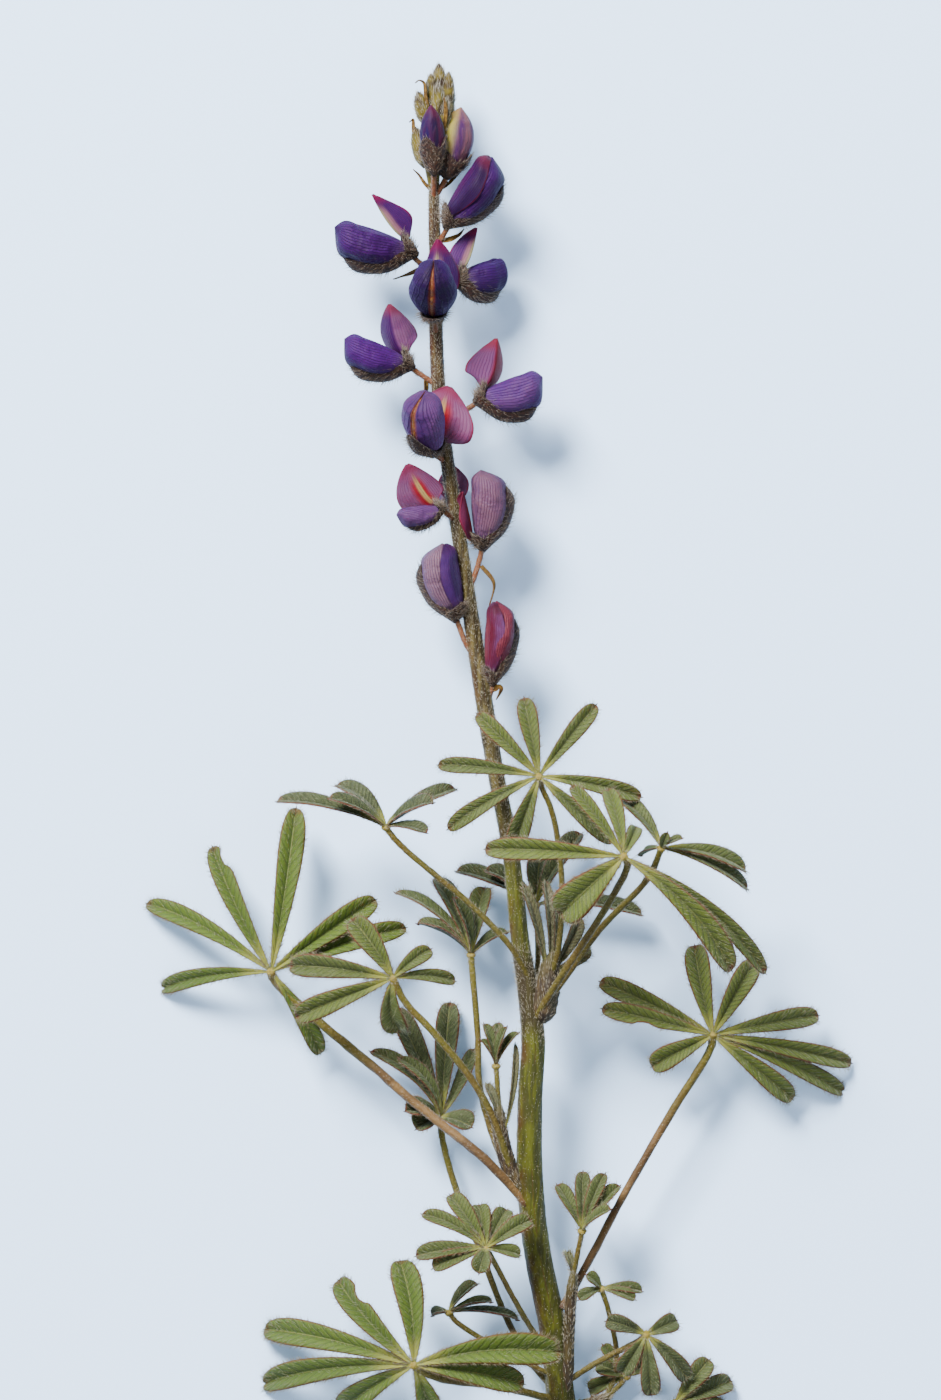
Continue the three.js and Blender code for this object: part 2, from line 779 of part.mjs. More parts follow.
// The two wings, which close over the keel: bellied below, nearly straight above, with a groove between
// their upper edges. With a margin, the groove is filled and the body cuts their seat in the neighbours.
function wings(flower, margin = 0) {
  const { origin, forward, up, across } = flowerAxes(flower);
  const { length, breadth = 1, depth = 1 } = flower;
  const point = (ahead, high, out) => offset(origin, [forward, ahead], [up, high], [across, out]);
  const rings = WING_PROFILE.map(([ahead, low, high, half]) => {
    const start = ahead * length;
    const bottom = low * length * depth - margin;
    const top = high * length * depth + margin;
    const reach = half * length * breadth + margin;
    const groove = margin > 0 ? top : lerp(bottom, top, 0.6);
    const right = [[0.35, 1], [0.72, 0.92], [1, 0.45]];
    return [
      point(start, bottom, 0),
      ...right.map(([share, out]) => point(start, lerp(bottom, top, share), out * reach)),
      point(start, groove, 0),
      ...right.toReversed().map(([share, out]) => point(start, lerp(bottom, top, share), -out * reach)),
    ];
  });
  const back = margin > 0 ? [[point(-margin, 0, 0)]] : [];
  const tip = point(WING_TIP[0] * length + 2 * margin, WING_TIP[1] * length * depth, 0);
  return loft([...back, ...rings, [tip]]);
}

// The banner's half width along its midline, as shares of the midline and of the flower's length.
const BANNER_OUTLINE = [
  [0, 0.1],
  [0.28, 0.36],
  [0.55, 0.43],
  [0.75, 0.38],
  [0.9, 0.22],
  [1.0, 0.04],
];
// Forward and up, as shares of the flower's length: where the banner starts, and where it bends back.
const BANNER_ROOT = [0.06, 0.14];
const BANNER_KNEE = [0.3, 0.18];

// The banner: a broad petal that leaves the calyx along the wings and bends away from them, with each half
// turned back from the midline by "fold" degrees, or down over the wings where that is negative. "roll" turns
// the whole petal about its midline, and "lobes" are the shares of its width on its two sides.
function banner(flower, margin = 0) {
  const { origin, forward, up, across } = flowerAxes(flower);
  const { length, open, fold, roll = 0, depth = 1 } = flower;
  const { bannerLength = 0.64, bannerWidth = 1, lobes = [1, 1] } = flower;
  const [rise, turn, twist] = [open, fold, roll].map(radians);
  const reach = bannerLength * length;
  const [root, knee] = [BANNER_ROOT, BANNER_KNEE].map(([ahead, high]) =>
    offset(origin, [forward, ahead * length], [up, high * length * depth]),
  );
  const tip = offset(knee, [forward, reach * Math.cos(rise)], [up, reach * Math.sin(rise)]);
  const midline = new THREE.QuadraticBezierCurve3(root, knee, tip);
  const lastRow = BANNER_OUTLINE.length - 1;
  const grid = (level) =>
    BANNER_OUTLINE.map(([share, spread], row) => {
      const tangent = midline.getTangent(share);
      const flat = new THREE.Vector3().crossVectors(tangent, across);
      const sideways = offset(new THREE.Vector3(), [across, Math.cos(twist)], [flat, Math.sin(twist)]);
      const facing = new THREE.Vector3().crossVectors(tangent, sideways);
      const beyond = row === 0 ? -margin : row === lastRow ? margin : 0;
      return [-1, 0, 1].map((hand) => {
        const lobe = hand < 0 ? lobes[0] : lobes[1];
        const half = Math.abs(hand) * (spread * length * bannerWidth * lobe + margin);
        return offset(
          midline.getPoint(share),
          [tangent, beyond],
          [sideways, hand * half * Math.cos(turn)],
          [facing, level * (PETAL_THICKNESS / 2 + margin) - half * Math.sin(turn)],
        );
      });
    });
  return sheet(grid(1), grid(-1));
}

// The calyx in profile: a cup round the flower's foot that runs out into a boat-shaped lower lip.
const CALYX_PROFILE = [
  [0.0, -0.13, 0.13, 0.13],
  [0.13, -0.26, 0.2, 0.19],
  [0.4, -0.38, -0.08, 0.2],
  [0.68, -0.37, -0.15, 0.18],
];
const CALYX_FOOT = [-0.12, 0];
const CALYX_TIP = [0.86, -0.19];
const STALK_RADIUS = 0.42;

// The calyx with the flower's stalk, before the petals' seats are cut into it.
function calyx(flower) {
  const { origin, forward, up, across } = flowerAxes(flower);
  const { length, breadth = 1, depth = 1 } = flower;
  const point = (ahead, high, out) =>
    offset(origin, [forward, ahead * length], [up, high * length * depth], [across, out * length * breadth]);
  const boat = loft([
    [point(...CALYX_FOOT, 0)],
    ...CALYX_PROFILE.map(([ahead, low, high, half]) => {
      const right = [[0.3, 0.95], [0.8, 0.85]];
      return [
        point(ahead, low, 0),
        ...right.map(([share, out]) => point(ahead, lerp(low, high, share), out * half)),
        point(ahead, high, 0),
        ...right.toReversed().map(([share, out]) => point(ahead, lerp(low, high, share), -out * half)),
      ];
    }),
    [point(...CALYX_TIP, 0)],
  ]);
  const foot = stalk(withRadius([flower.base, ...flower.stalk], STALK_RADIUS), STALK_SIDES, 1);
  const pieces = [boat, foot];
  if (flower.bract) pieces.push(stalk(withRadius(flower.bract, BRACT_RADIUS), 4, 2));
  return join(pieces);
}

// A closed petal bud and the cup that holds it.
function openingBud({ base, tip, halfWidth }, growth = 0) {
  const root = place(base);
  const run = new THREE.Vector3().subVectors(place(tip), root);
  const length = run.length();
  const ahead = run.clone().normalize();
  const side = squareTo(ahead, new THREE.Vector3(1, 0, 0));
  const top = new THREE.Vector3().crossVectors(side, ahead);
  const rings = [
    [0.1, 0.5],
    [0.35, 0.95],
    [0.6, 1.0],
    [0.85, 0.6],
  ].map(([share, spread]) =>
    Array.from({ length: 7 }, (_, i) => {
      const turn = (2 * Math.PI * i) / 7;
      const half = spread * halfWidth + growth;
      return offset(root, [run, share], [side, half * Math.cos(turn)], [top, 0.8 * half * Math.sin(turn)]);
    }),
  );
  return loft([[offset(root, [ahead, -growth])], ...rings, [offset(root, [ahead, length + growth])]]);
}

function openingBudCup({ base, tip, halfWidth, cupShare, stalk: line }, margin = 0) {
  const root = place(base);
  const run = new THREE.Vector3().subVectors(place(tip), root);
  const way = run.clone().normalize();
  const side = squareTo(way, new THREE.Vector3(1, 0, 0));
  const top = new THREE.Vector3().crossVectors(side, way);
  const cup = loft([
    [offset(root, [way, -0.9 - margin])],
    ...[
      [-0.02, 0.6, 0],
      [0.5 * cupShare, 1.0, 0],
      [cupShare, 1.2, 0.12],
    ].map(([share, spread, tooth]) =>
      Array.from({ length: 6 }, (_, i) => {
        const turn = (Math.PI * i) / 3;
        const half = spread * halfWidth + margin;
        const ahead = share + (i % 2) * tooth + (Math.sign(share) * margin) / run.length();
        return offset(root, [run, ahead], [side, half * Math.cos(turn)], [top, 0.85 * half * Math.sin(turn)]);
      }),
    ),
  ]);
  return join([cup, stalk(withRadius([base, ...line], STALK_RADIUS + margin), STALK_SIDES, 2)]);
}

// A small closed bud standing out from the head's core.
function smallBud(root, tip, halfWidth) {
  const run = new THREE.Vector3().subVectors(tip, root);
  const side = squareTo(run, new THREE.Vector3(0.2, 0.1, 1));
  const other = new THREE.Vector3().crossVectors(run, side).normalize();
  const rings = [
    [0.3, 0.9],
    [0.6, 0.85],
  ].map(([share, spread]) =>
    Array.from({ length: 4 }, (_, i) => {
      const turn = (Math.PI * i) / 2;
      const half = spread * halfWidth;
      return offset(root, [run, share], [side, half * Math.cos(turn)], [other, half * Math.sin(turn)]);
    }),
  );
  return loft([[root], ...rings, [tip]]);
}

function closedHead() {
  const buds = HEAD.buds.map(({ root, tip, halfWidth }) => smallBud(place(root), place(tip), halfWidth));
  return join([stalk(HEAD.core, 6, 1), ...buds]);
}

const spike = new THREE.Group();

function addPiece(name, piece, colour, roughness) {
  const mesh = piece.getMesh();
  const geometry = new THREE.BufferGeometry();
  geometry.setAttribute('position', new THREE.BufferAttribute(mesh.vertProperties, 3));
  geometry.setIndex(new THREE.BufferAttribute(mesh.triVerts, 1));
  geometry.computeVertexNormals();
  const material = new THREE.MeshStandardMaterial({ color: COLOURS[colour], roughness, metalness: 0 });
  const part = new THREE.Mesh(geometry, material);
  part.name = name;
  spike.add(part);
}

addPiece('main_stem', stalk(STEM, STEM_SIDES, 1), 'stem', 0.6);
const stemSeat = stalk(STEM, STEM_SIDES, 1, SEAT_GAP);
const sheathSeats = SHOOTS.map((spec) => shoot(spec, SEAT_GAP));

for (const spec of SHOOTS) addPiece(spec.name, seat(shoot(spec), [stemSeat]), 'shoot', 0.75);
for (const spec of LEAVES) addPiece(spec.name, seat(leaf(spec), [stemSeat, ...sheathSeats]), 'leaf', 0.7);

for (const flower of FLOWERS) {
  const wingSeat = wings(flower, SEAT_GAP);
  addPiece(`${flower.name}_wings`, seat(wings(flower), [stemSeat]), flower.colour, 0.5);
  addPiece(`${flower.name}_banner`, seat(banner(flower), [wingSeat, stemSeat]), flower.colour, 0.5);
  const cup = seat(calyx(flower), [wingSeat, banner(flower, SEAT_GAP), stemSeat]);
  addPiece(`${flower.name}_calyx`, cup, 'calyx', 0.8);
}

const taken = [stemSeat];
for (const bud of OPENING_BUDS) {
  const petals = openingBud(bud);
  const cup = seat(openingBudCup(bud), [openingBud(bud, SEAT_GAP), ...taken]);
  addPiece(`${bud.name}_petals`, seat(petals, taken), bud.colour, 0.5);
  addPiece(`${bud.name}_calyx`, cup, 'calyx', 0.8);
  taken.push(openingBud(bud, SEAT_GAP), openingBudCup(bud, SEAT_GAP));
}
addPiece('closed_head', seat(closedHead(), taken), 'bud', 0.8);

export default spike;
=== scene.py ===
"""The looks of a cut flowering stem of a small blue lupin, lying on its back and seen from above.

Every piece is drawn along the same lines as the solid that it stands for. Places are read off the plan of
the lying stem: squares to the right, squares down from above the spike, and the height in millimetres.
Shapes are worked out in millimetres and turned into metres when a piece is made.
"""

import math

import bpy
import numpy as np
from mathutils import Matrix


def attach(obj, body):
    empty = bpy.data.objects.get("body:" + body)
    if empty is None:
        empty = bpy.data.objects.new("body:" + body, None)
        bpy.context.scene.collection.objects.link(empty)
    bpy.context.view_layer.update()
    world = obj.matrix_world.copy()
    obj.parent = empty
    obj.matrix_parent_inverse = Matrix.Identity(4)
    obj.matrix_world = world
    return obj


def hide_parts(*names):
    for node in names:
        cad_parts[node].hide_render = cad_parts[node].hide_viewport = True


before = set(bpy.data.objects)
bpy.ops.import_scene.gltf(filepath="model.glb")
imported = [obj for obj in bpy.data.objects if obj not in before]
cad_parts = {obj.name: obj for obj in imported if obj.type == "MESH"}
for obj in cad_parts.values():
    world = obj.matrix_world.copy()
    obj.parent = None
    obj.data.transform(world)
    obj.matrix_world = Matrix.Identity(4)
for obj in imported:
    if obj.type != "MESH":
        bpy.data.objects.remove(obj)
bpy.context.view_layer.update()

# The plan's grid, and sizes in millimetres.
MILLIMETRE = 0.001
STEM_LENGTH = 205.2
SQUARE = STEM_LENGTH / (1432 - 64)
PLAN_CENTRE = (499, 748)
STALK_RADIUS = 0.42
HUB_RADIUS = 0.72
BLADE_THICKNESS = 0.3
PETAL_THICKNESS = 0.16
LIP_THICKNESS = 0.3
BRACT_THICKNESS = 0.14
HAIR_ROOT = 0.08

# The picture's field: its middle on the plan, its height in squares, and how far off the camera stands.
FIELD_MIDDLE = (470.5, 700, 11)
FIELD_SQUARES = 1400
CAMERA_DISTANCE = 5.0
SENSOR = 36.0

# How bright and how rich a pigment is beside the colour that it shows in this light.
PIGMENT_GAIN = 0.24
RICHNESS = 1.4

# The values at each point that finishes are painted by.
PAINTED_BY = ("along", "across", "tone")

# The stem's centre line: squares right, squares down, height, radius.
STEM = [
    (566, 1432, 2.11, 2.15), (561, 1400, 3.1, 2.1), (553, 1330, 5.8, 2.05), (537, 1250, 8.5, 2.0),
    (530, 1180, 10.5, 1.95), (530, 1100, 12.0, 1.85), (533, 1040, 12.5, 1.8), (527, 985, 12.6, 1.55),
    (520, 940, 12.5, 1.4), (513, 870, 12.2, 1.32), (507, 830, 12.0, 1.28), (497, 780, 11.8, 1.24),
    (487, 720, 11.5, 1.34), (476, 650, 11.2, 1.28), (467, 590, 11.0, 1.18), (458, 530, 10.7, 1.1),
    (450, 480, 10.5, 1.06), (443, 430, 10.3, 1.05), (438, 380, 10.0, 1.04), (436, 330, 9.8, 1.03),
    (436, 270, 9.5, 1.0), (434, 215, 9.0, 0.85), (434, 184, 8.8, 0.75),
]

# Leaves: how dark and how dry each is, from 0 to 1 (leaf_06's darkness is painted shade, as it lies in
# shade), its hub, where its upper side looks, its leaflets' width in squares, its stalk's radius, the stalk
# from the hub to the stem, and the leaflets. Each leaflet is the place of its tip, its own width where that
# differs from the leaf's, and the squares that its middle bows to the right of the way out.
LEAVES = {
    "leaf_01": (
        (0.4, 0.3), (539, 776, 20), (90, 84), 24, 0.45,
        [(542, 788, 19), (551, 809, 18), (558, 841, 16.6), (562, 890, 15.6), (558, 950, 15.2),
         (546, 992, 13.4)],
        [(477, 714, 18, 18), (524, 698, 19, 20), (596, 705, 19, 19), (438, 765, 18, 17, 2),
         (448, 829, 17.4, 18, 3), (514, 846, 16.6, 22), (641, 797, 19, 18, -2), (613, 842, 19, 19, 1)],
    ),
    "leaf_02": (
        (0.12, 0.3), (623, 856, 29), (90, 84), 30, 0.55,
        [(627, 864, 28), (611, 898, 24), (567, 967, 17.6), (535, 1018, 13.5)],
        [(485, 849, 25, 23, 1), (560, 914, 25, 38), (731, 970, 23, 26, -11), (765, 973, 20, 18, -12),
         (571, 786, 25.6, 15, 2), (607, 789, 25, 18, 3), (636, 827, 26, 15)],
    ),
    "leaf_03": (
        (0.35, 0.4), (661, 848, 22), (70, 50), 22, 0.5,
        [(653, 868, 20.6), (643, 884, 19.6), (599, 930, 16.6), (560, 985, 14), (540, 1012, 12.8)],
        [(620, 799, 18, 19, 2), (745, 871, 18, 20, -3), (747, 889, 16, 18, -2), (667, 832, 25, 10),
         (682, 838, 24, 10), (641, 856, 18.4, 12)],
    ),
    "leaf_04": (
        (0.2, 0.9), (271, 972, 9), (90, 84), 27, 0.7,
        [(275, 981, 8.2), (326, 1028, 8), (377, 1070, 8.6), (404, 1094, 9.2), (441, 1124, 10.6),
         (484, 1158, 12.6), (520, 1196, 11)],
        [(146, 904, 0, 21, 6), (161, 990, 0, 19, 5), (212, 847, 3, 22, -4), (296, 808, 6, 26, 2),
         (376, 900, 7, 25), (406, 928, 7, 22, -3), (320, 1054, 3, 19, -3)],
    ),
    "leaf_05": (
        (0.35, 0.3), (393, 978, 16), (90, 84), 25, 0.55,
        [(404, 1000, 15), (436, 1035, 14.4), (474, 1083, 13.6), (494, 1120, 13), (510, 1168, 11.6)],
        [(352, 919, 14.5, 25, 2), (290, 966, 13, 24, 2), (296, 1017, 12.6, 24), (400, 1031, 11.6, 25, 7),
         (431, 949, 15.4, 18, -2), (455, 981, 14.6, 15, -4)],
    ),
    # leaf_06 lies in shade: its high darkness is painted shade.
    "leaf_06": (
        (0.95, 0.3), (386, 827, 17), (90, 35), 24, 0.45,
        [(390, 833, 16.9), (406, 850, 16.7), (437, 876, 16.4), (470, 904, 16), (510, 946, 15.6),
         (532, 985, 13)],
        [(277, 802, 15, 22), (329, 799, 20, 20), (336, 786, 13, 22, 4), (456, 790, 15, 22), (434, 803, 20),
         (427, 833, 22, 18)],
    ),
    "leaf_07": (
        (0.75, 0.2), (471, 955, 9.5), (90, 25), 22, 0.48,
        [(472, 968, 9.6), (478, 1039, 10), (479, 1080, 10.2), (489, 1125, 10.4), (502, 1160, 10.8)],
        [(395, 893, 8, 20, 4), (417, 924, 12, 20, 2), (435, 879, 5), (453, 898, 12.4), (485, 888, 5),
         (508, 933, 7.4, 17)],
    ),
    "leaf_08": (
        (0.12, 0.75), (713, 1035, 9), (90, 82), 24, 0.6,
        [(711, 1048, 8.4), (674, 1109, 8), (623, 1197, 7.8), (587, 1265, 7.8), (567, 1300, 7.2)],
        [(600, 982, 6, 22), (602, 1009, 9, 20), (652, 1067, 7), (695, 946, 6, 25, -2), (755, 962, 7),
         (819, 1016, 4, 22), (852, 1064, 0, 20), (845, 1094, 0, 19, -3), (793, 1100, 2.4, 22)],
    ),
    "leaf_09": (
        (0.85, 0.1), (441, 1118, 4.4), (90, 50), 26, 0.5,
        [(441, 1130, 4.2), (446, 1156, 4), (457, 1193, 3.8), (480, 1250, 3.6), (503, 1311, 3.4),
         (530, 1362, 3.4), (556, 1392, 3.4)],
        [(370, 1052, 4.4, 18, 8), (398, 1058, 7.6, 16, 7), (395, 1009, 1.6, 24), (450, 1003, 1.4, 24),
         (405, 1112, 7.4), (416, 1130, 6.6), (472, 1128, 6.4), (474, 1050, 2, 15, 4)],
    ),
    "leaf_10": (
        (0.5, 0.3), (486, 1248, 15), (90, 62), 20, 0.42,
        [(491, 1256, 14.2), (508, 1288, 12), (527, 1322, 9), (546, 1350, 6)],
        [(422, 1214, 14, 17, 3), (450, 1195, 13), (479, 1205, 11.6), (507, 1210, 12), (531, 1220, 13.6),
         (520, 1255, 15.4, 15), (416, 1256, 14), (433, 1268, 16), (479, 1273, 17.4)],
    ),
    "leaf_11": (
        (0.25, 0.1), (414, 1365, 13), (90, 84), 30, 0.6,
        [(426, 1373, 12.2), (447, 1380, 11), (500, 1387, 7.4), (552, 1400, 4.2)],
        [(264, 1331, 0, 28, 4), (263, 1386, 0, 27, 6), (338, 1281, 6, 26, -5), (400, 1261, 9, 30, 5),
         (340, 1415, 3, 28, 4), (432, 1430, 5, 31, -3), (561, 1352, 12.8, 33, -7),
         (524, 1384, 12.6, 28, -2)],
    ),
    "leaf_12": (
        (0.8, 0.1), (449, 1313, 6.6), (90, 25), 18, 0.4,
        [(456, 1322, 6.4), (500, 1350, 6), (548, 1374, 5)],
        [(478, 1285, 5), (432, 1317, 7), (492, 1303, 7.4), (518, 1321, 6.4)],
    ),
    "leaf_13": (
        (0.9, 0.0), (646, 1335, 8), (90, 84), 20, 0.45,
        [(639, 1341, 7.4), (594, 1365, 5.8), (568, 1382, 4.6)],
        [(606, 1322, 7.4, 18, 2), (677, 1321, 7), (687, 1380, 4.6, 19, -3), (622, 1374, 7.4),
         (652, 1396, 5.6)],
    ),
    "leaf_14": (
        (0.9, 0.2), (536, 905, 5.4), (90, 35), 24, 0.45,
        [(537, 918, 5.8), (538, 960, 7.2), (535, 995, 9.2), (530, 1015, 11)],
        [(456, 872, 4), (485, 871, 7.6), (540, 858, 2.6), (582, 834, 4), (642, 916, 4.4)],
    ),
}

# The young side shoots: a short sheath on the stem, narrow folded leaflets in a tuft, each with its root, tip
# and width, and small leaves, which are laid out as the large ones are.
SHOOTS = {
    "side_shoot_top": (
        [(540, 1024, 12.8, 1.8), (548, 985, 13.2, 1.85), (552, 952, 13.4, 1.2)],
        [((546, 975, 13.4), (523, 884, 14.4), 12), ((549, 972, 13.0), (545, 881, 12.6), 12),
         ((552, 970, 13.4), (556, 892, 12.2), 10), ((554, 968, 13.0), (579, 917, 13.4), 16),
         ((554, 972, 13.4), (590, 948, 13.8), 14)],
        [],
    ),
    "side_shoot_left": (
        [(526, 1200, 10.6, 1.3), (508, 1165, 11.0, 1.25), (500, 1132, 11.2, 1.15), (498, 1100, 11.3, 0.75)],
        [((503, 1135, 11.2), (515, 1044, 11), 8), ((499, 1120, 11.2), (486, 1084, 11.4), 10)],
        [
            (
                (496, 1066, 11.4), (90, 25), 12, 0.4,
                [(497, 1080, 11.4), (499, 1108, 11.3)],
                [(484, 1024, 11), (480, 1040, 13), (499, 1023, 9.6), (507, 1027, 13.4), (519, 1033, 11)],
            ),
        ],
    ),
    "side_shoot_right": (
        [(566, 1396, 4.6, 1.0), (569, 1340, 6.8, 0.8), (570, 1310, 8.0, 0.85), (574, 1268, 9.4, 0.9)],
        [((573, 1275, 9.2), (566, 1252, 9.6), 9)],
        [
            (
                (582, 1231, 11), (90, 45), 16, 0.4,
                [(580, 1242, 10.6), (574, 1272, 9.3)],
                [(557, 1185, 9.6), (583, 1172, 10), (605, 1174, 9.8), (620, 1186, 11.2), (611, 1209, 14)],
            ),
        ],
    ),
    "side_shoot_low": (
        [(566, 1410, 2.9, 0.95), (592, 1404, 3.2, 0.8), (612, 1396, 3.4, 0.6)],
        [],
        [
            (
                (601, 1289, 8.6), (90, 55), 14, 0.4,
                [(606, 1302, 8), (613, 1330, 6), (617, 1356, 4.4), (614, 1380, 3.4), (606, 1398, 3.3)],
                [(642, 1292, 7.6), (635, 1300, 9.8), (586, 1275, 9.4), (579, 1300, 10.6)],
            ),
            (
                (627, 1377, 3.2), (90, 75), 20, 0.4,
                [(620, 1386, 3.2), (608, 1397, 3.3)],
                [(597, 1366, 2.6), (590, 1392, 1.4, 17), (603, 1346, 2.6, 13), (652, 1362, 2.4)],
            ),
            (
                (676, 1404, 4), (90, 80), 22, 0.45,
                [(664, 1410, 3.6), (630, 1408, 3.2), (600, 1402, 3.2)],
                [(710, 1361, 2.4), (732, 1383, 1.2), (724, 1412, 0.6), (689, 1424, 0.6), (646, 1423, 1.4)],
            ),
        ],
    ),
}

# Flowers, from the top of the spike down. "aim" is where the wings point and "banner" the side that the
# banner stands on; "open" is the angle between them and "fold" how far its halves bend back. One with a
# "cover" still has its banner folded down. The stalk runs from the calyx into the stem. "wear" is how worn
# the colour is, from 0 to 1.
FLOWERS = [
    dict(
        name="flower_01", base=(450, 221, 11), aim=(52, 10), banner=(144, 16), length=11.6, depth=0.94,
        cover=0.4, colour="fresh", wear=0.0,
        stalk=[(445, 232, 10.4), (435, 250, 9.3)],
        bract=[(441, 241, 9.9), (452, 239, 9.5), (460, 235, 9.5), (464, 229, 9.8)],
    ),
    dict(
        name="flower_02", base=(409, 252, 10.4), aim=(166, 8), banner=(76, 6), length=11.8, open=50,
        fold=74, roll=25, banner_length=0.54, banner_width=0.66, colour="fresh", wear=0.15,
        stalk=[(420, 263, 10), (436, 272, 9.5)],
        bract=[(424, 267, 9.9), (408, 273, 9.2), (393, 279, 8.6)],
    ),
    # The wings of flower_03 and flower_04 wear a darker copy of the fresh colours: painted shade.
    dict(
        name="flower_03", base=(434, 313, 13.4), aim=(91, 52), banner=(84, -38), length=11.4, open=52,
        fold=44, lobes=(1.1, 0.6), banner_width=0.8, lip=0.3, colour="fresh", dress="fresh_in_shade", wear=0.2,
        stalk=[(435, 323, 11.8), (436, 336, 9.8)],
    ),
    dict(
        name="flower_04", base=(459, 281, 10.4), aim=(14, -30), banner=(104, 10), length=8.4, depth=1.25,
        open=68, fold=62, roll=-72, banner_length=0.68, banner_width=0.9, colour="fresh", dress="fresh_in_shade",
        wear=0.45,
        stalk=[(450, 290, 9.6), (436, 300, 9.6)],
    ),
    dict(
        name="flower_05", base=(407, 365, 10.6), aim=(162, 8), banner=(72, 6), length=10.2, open=68,
        fold=58, roll=72, banner_width=0.94, colour="fresh", banner_dress="lilac", wear=0.9,
        stalk=[(420, 374, 10.2), (438, 386, 10)],
        bract=[(426, 378, 10.2), (424, 392, 9.6), (414, 398, 9.2)],
    ),
    dict(
        name="flower_06", base=(481, 400, 10.2), aim=(15, 4), banner=(105, 4), length=9.8, depth=1.2,
        open=74, fold=54, roll=-60, banner_length=0.66, banner_width=1.05, colour="ageing",
        banner_dress="rosy", wear=0.1,
        stalk=[(466, 410, 9.6), (442, 426, 10.2)],
    ),
    dict(
        name="flower_07", base=(431, 450, 13.4), aim=(99, 42), banner=(36, -46), length=11.2, open=48,
        fold=14, banner_length=0.55, banner_width=1.2, lip=0.6, colour="ageing", wear=0.7,
        stalk=[(437, 456, 12.2), (446, 462, 10.4)],
    ),
    dict(
        name="flower_08", base=(441, 509, 12.8), aim=(192, 14), banner=(108, 12), length=6.9, depth=0.9,
        open=74, fold=24, roll=66, lobes=(0.7, 1.2), banner_length=1.0, banner_width=1.38, colour="ageing",
        wear=0.8,
        stalk=[(447, 514, 12.2), (456, 521, 10.6)],
    ),
    dict(
        name="flower_09", base=(483, 543, 11.2), aim=(87, 8), banner=(174, 12), length=11, open=18, fold=40,
        banner_length=0.42, banner_width=0.7, colour="faded", wear=0.5,
        stalk=[(481, 553, 11.2), (476, 572, 11.1), (468, 592, 11)],
        bract=[(481, 566, 11.2), (493, 584, 10.8), (489, 606, 10.4)],
    ),
    dict(
        name="flower_10", base=(454, 614, 11.8), aim=(104, 8), banner=(16, 20), length=10.8, cover=0.3,
        colour="ageing", dress="mauve", wear=1.0,
        stalk=[(459, 626, 11.8), (465, 642, 11.6), (478, 662, 11.2)],
    ),
    dict(
        name="flower_11", base=(493, 678, 11.8), aim=(84, 6), banner=(174, 20), length=11.6, depth=0.72,
        breadth=0.7, cover=0.5, crumple=0.16, colour="faded", dress="crimson", wear=0.8,
        stalk=[(492, 687, 11.7), (486, 708, 11.5)],
        bract=[(491, 690, 11.6), (500, 688, 12.2), (496, 700, 12.4)],
    ),
    dict(
        name="flower_12", base=(450, 510, 6.6), aim=(88, -52), banner=(80, 38), length=7.2, breadth=0.85,
        open=30, fold=50, colour="ageing", wear=0.0,
        stalk=[(455, 511, 9.2), (454, 515, 10.6)],
    ),
]

# The two flowers that are about to open, low on the spike's closed head.
OPENING_BUDS = [
    dict(
        name="opening_bud_01", base=(434, 170, 12.0), tip=(431, 105, 13.6), half_width=1.75, cup_share=0.34,
        colour="fresh",
        stalk=[(434, 184, 10.4), (434, 200, 8.9)],
    ),
    dict(
        name="opening_bud_02", base=(448, 173, 9.6), tip=(461, 107, 9.4), half_width=2.6, cup_share=0.16,
        colour="ageing",
        stalk=[(444, 182, 9.4), (434, 198, 8.9)],
    ),
]

# The closed head: a slim core, and small hairy buds set round it, each with its root, tip and half width.
HEAD_CORE = [(434, 188, 8.8, 0.8), (432, 150, 8.6, 1.5), (437, 112, 8.4, 1.6), (441, 84, 8.0, 1.0)]
HEAD_BUDS = [
    ((440, 100, 8.2), (439, 63, 8.4), 1.3),
    ((446, 124, 8.4), (449, 71, 8.8), 1.35),
    ((434, 112, 9.0), (431, 73, 9.2), 1.3),
    ((428, 126, 9.2), (418, 91, 9.4), 1.4),
    ((425, 168, 8.4), (415, 126, 8.4), 1.4),
    ((438, 126, 10.2), (438, 84, 10.2), 1.2),
    ((442, 142, 10.2), (446, 98, 10.6), 1.1),
    ((436, 150, 6.9), (428, 105, 6.4), 1.4),
    ((444, 150, 6.8), (453, 106, 6.4), 1.4),
    ((440, 122, 6.8), (441, 80, 6.8), 1.2),
    ((433, 172, 7.2), (424, 132, 6.4), 1.3),
]

# Awl-shaped bracts that stand out round the head.
HEAD_BRACTS = [
    [(430, 118, 9.6), (426, 96, 10.6), (424, 82, 10.8), (419, 80, 10.6), (415, 83, 10.2)],
    [(420, 150, 8.6), (414, 130, 8.8), (413, 119, 8.8), (409, 122, 8.6)],
    [(433, 192, 8.9), (425, 183, 9.0), (419, 174, 9.1), (413, 169, 9.3)],
    [(435, 192, 8.9), (448, 184, 8.8), (460, 172, 9.0), (467, 162, 9.4)],
    [(443, 132, 11.4), (446, 110, 12.2), (444, 97, 12.6)],
]

# Bites out of leaflets: the leaflet, the side (1 is the right of the way out), how far along, how deep and
# how long.
BITES = {
    ("leaf_04", 2): (1, 0.86, 0.5, 0.07),
    ("leaf_08", 1): (-1, 0.6, 0.45, 0.08),
    ("leaf_11", 2): (1, 0.72, 0.5, 0.08),
}

# Leaves with few hairs, which show a clearer green, and how dark and how dry a shoot's small leaves are.
LUSH_LEAVES = ("leaf_11", "leaf_04")
SMALL_LEAF_TONES = (0.55, 0.4)

# The young leaflets in a tuft: where their upper sides look, and how many hairs each has.
TUFT_FACE = (0, 60)
TUFT_HAIRS = 150

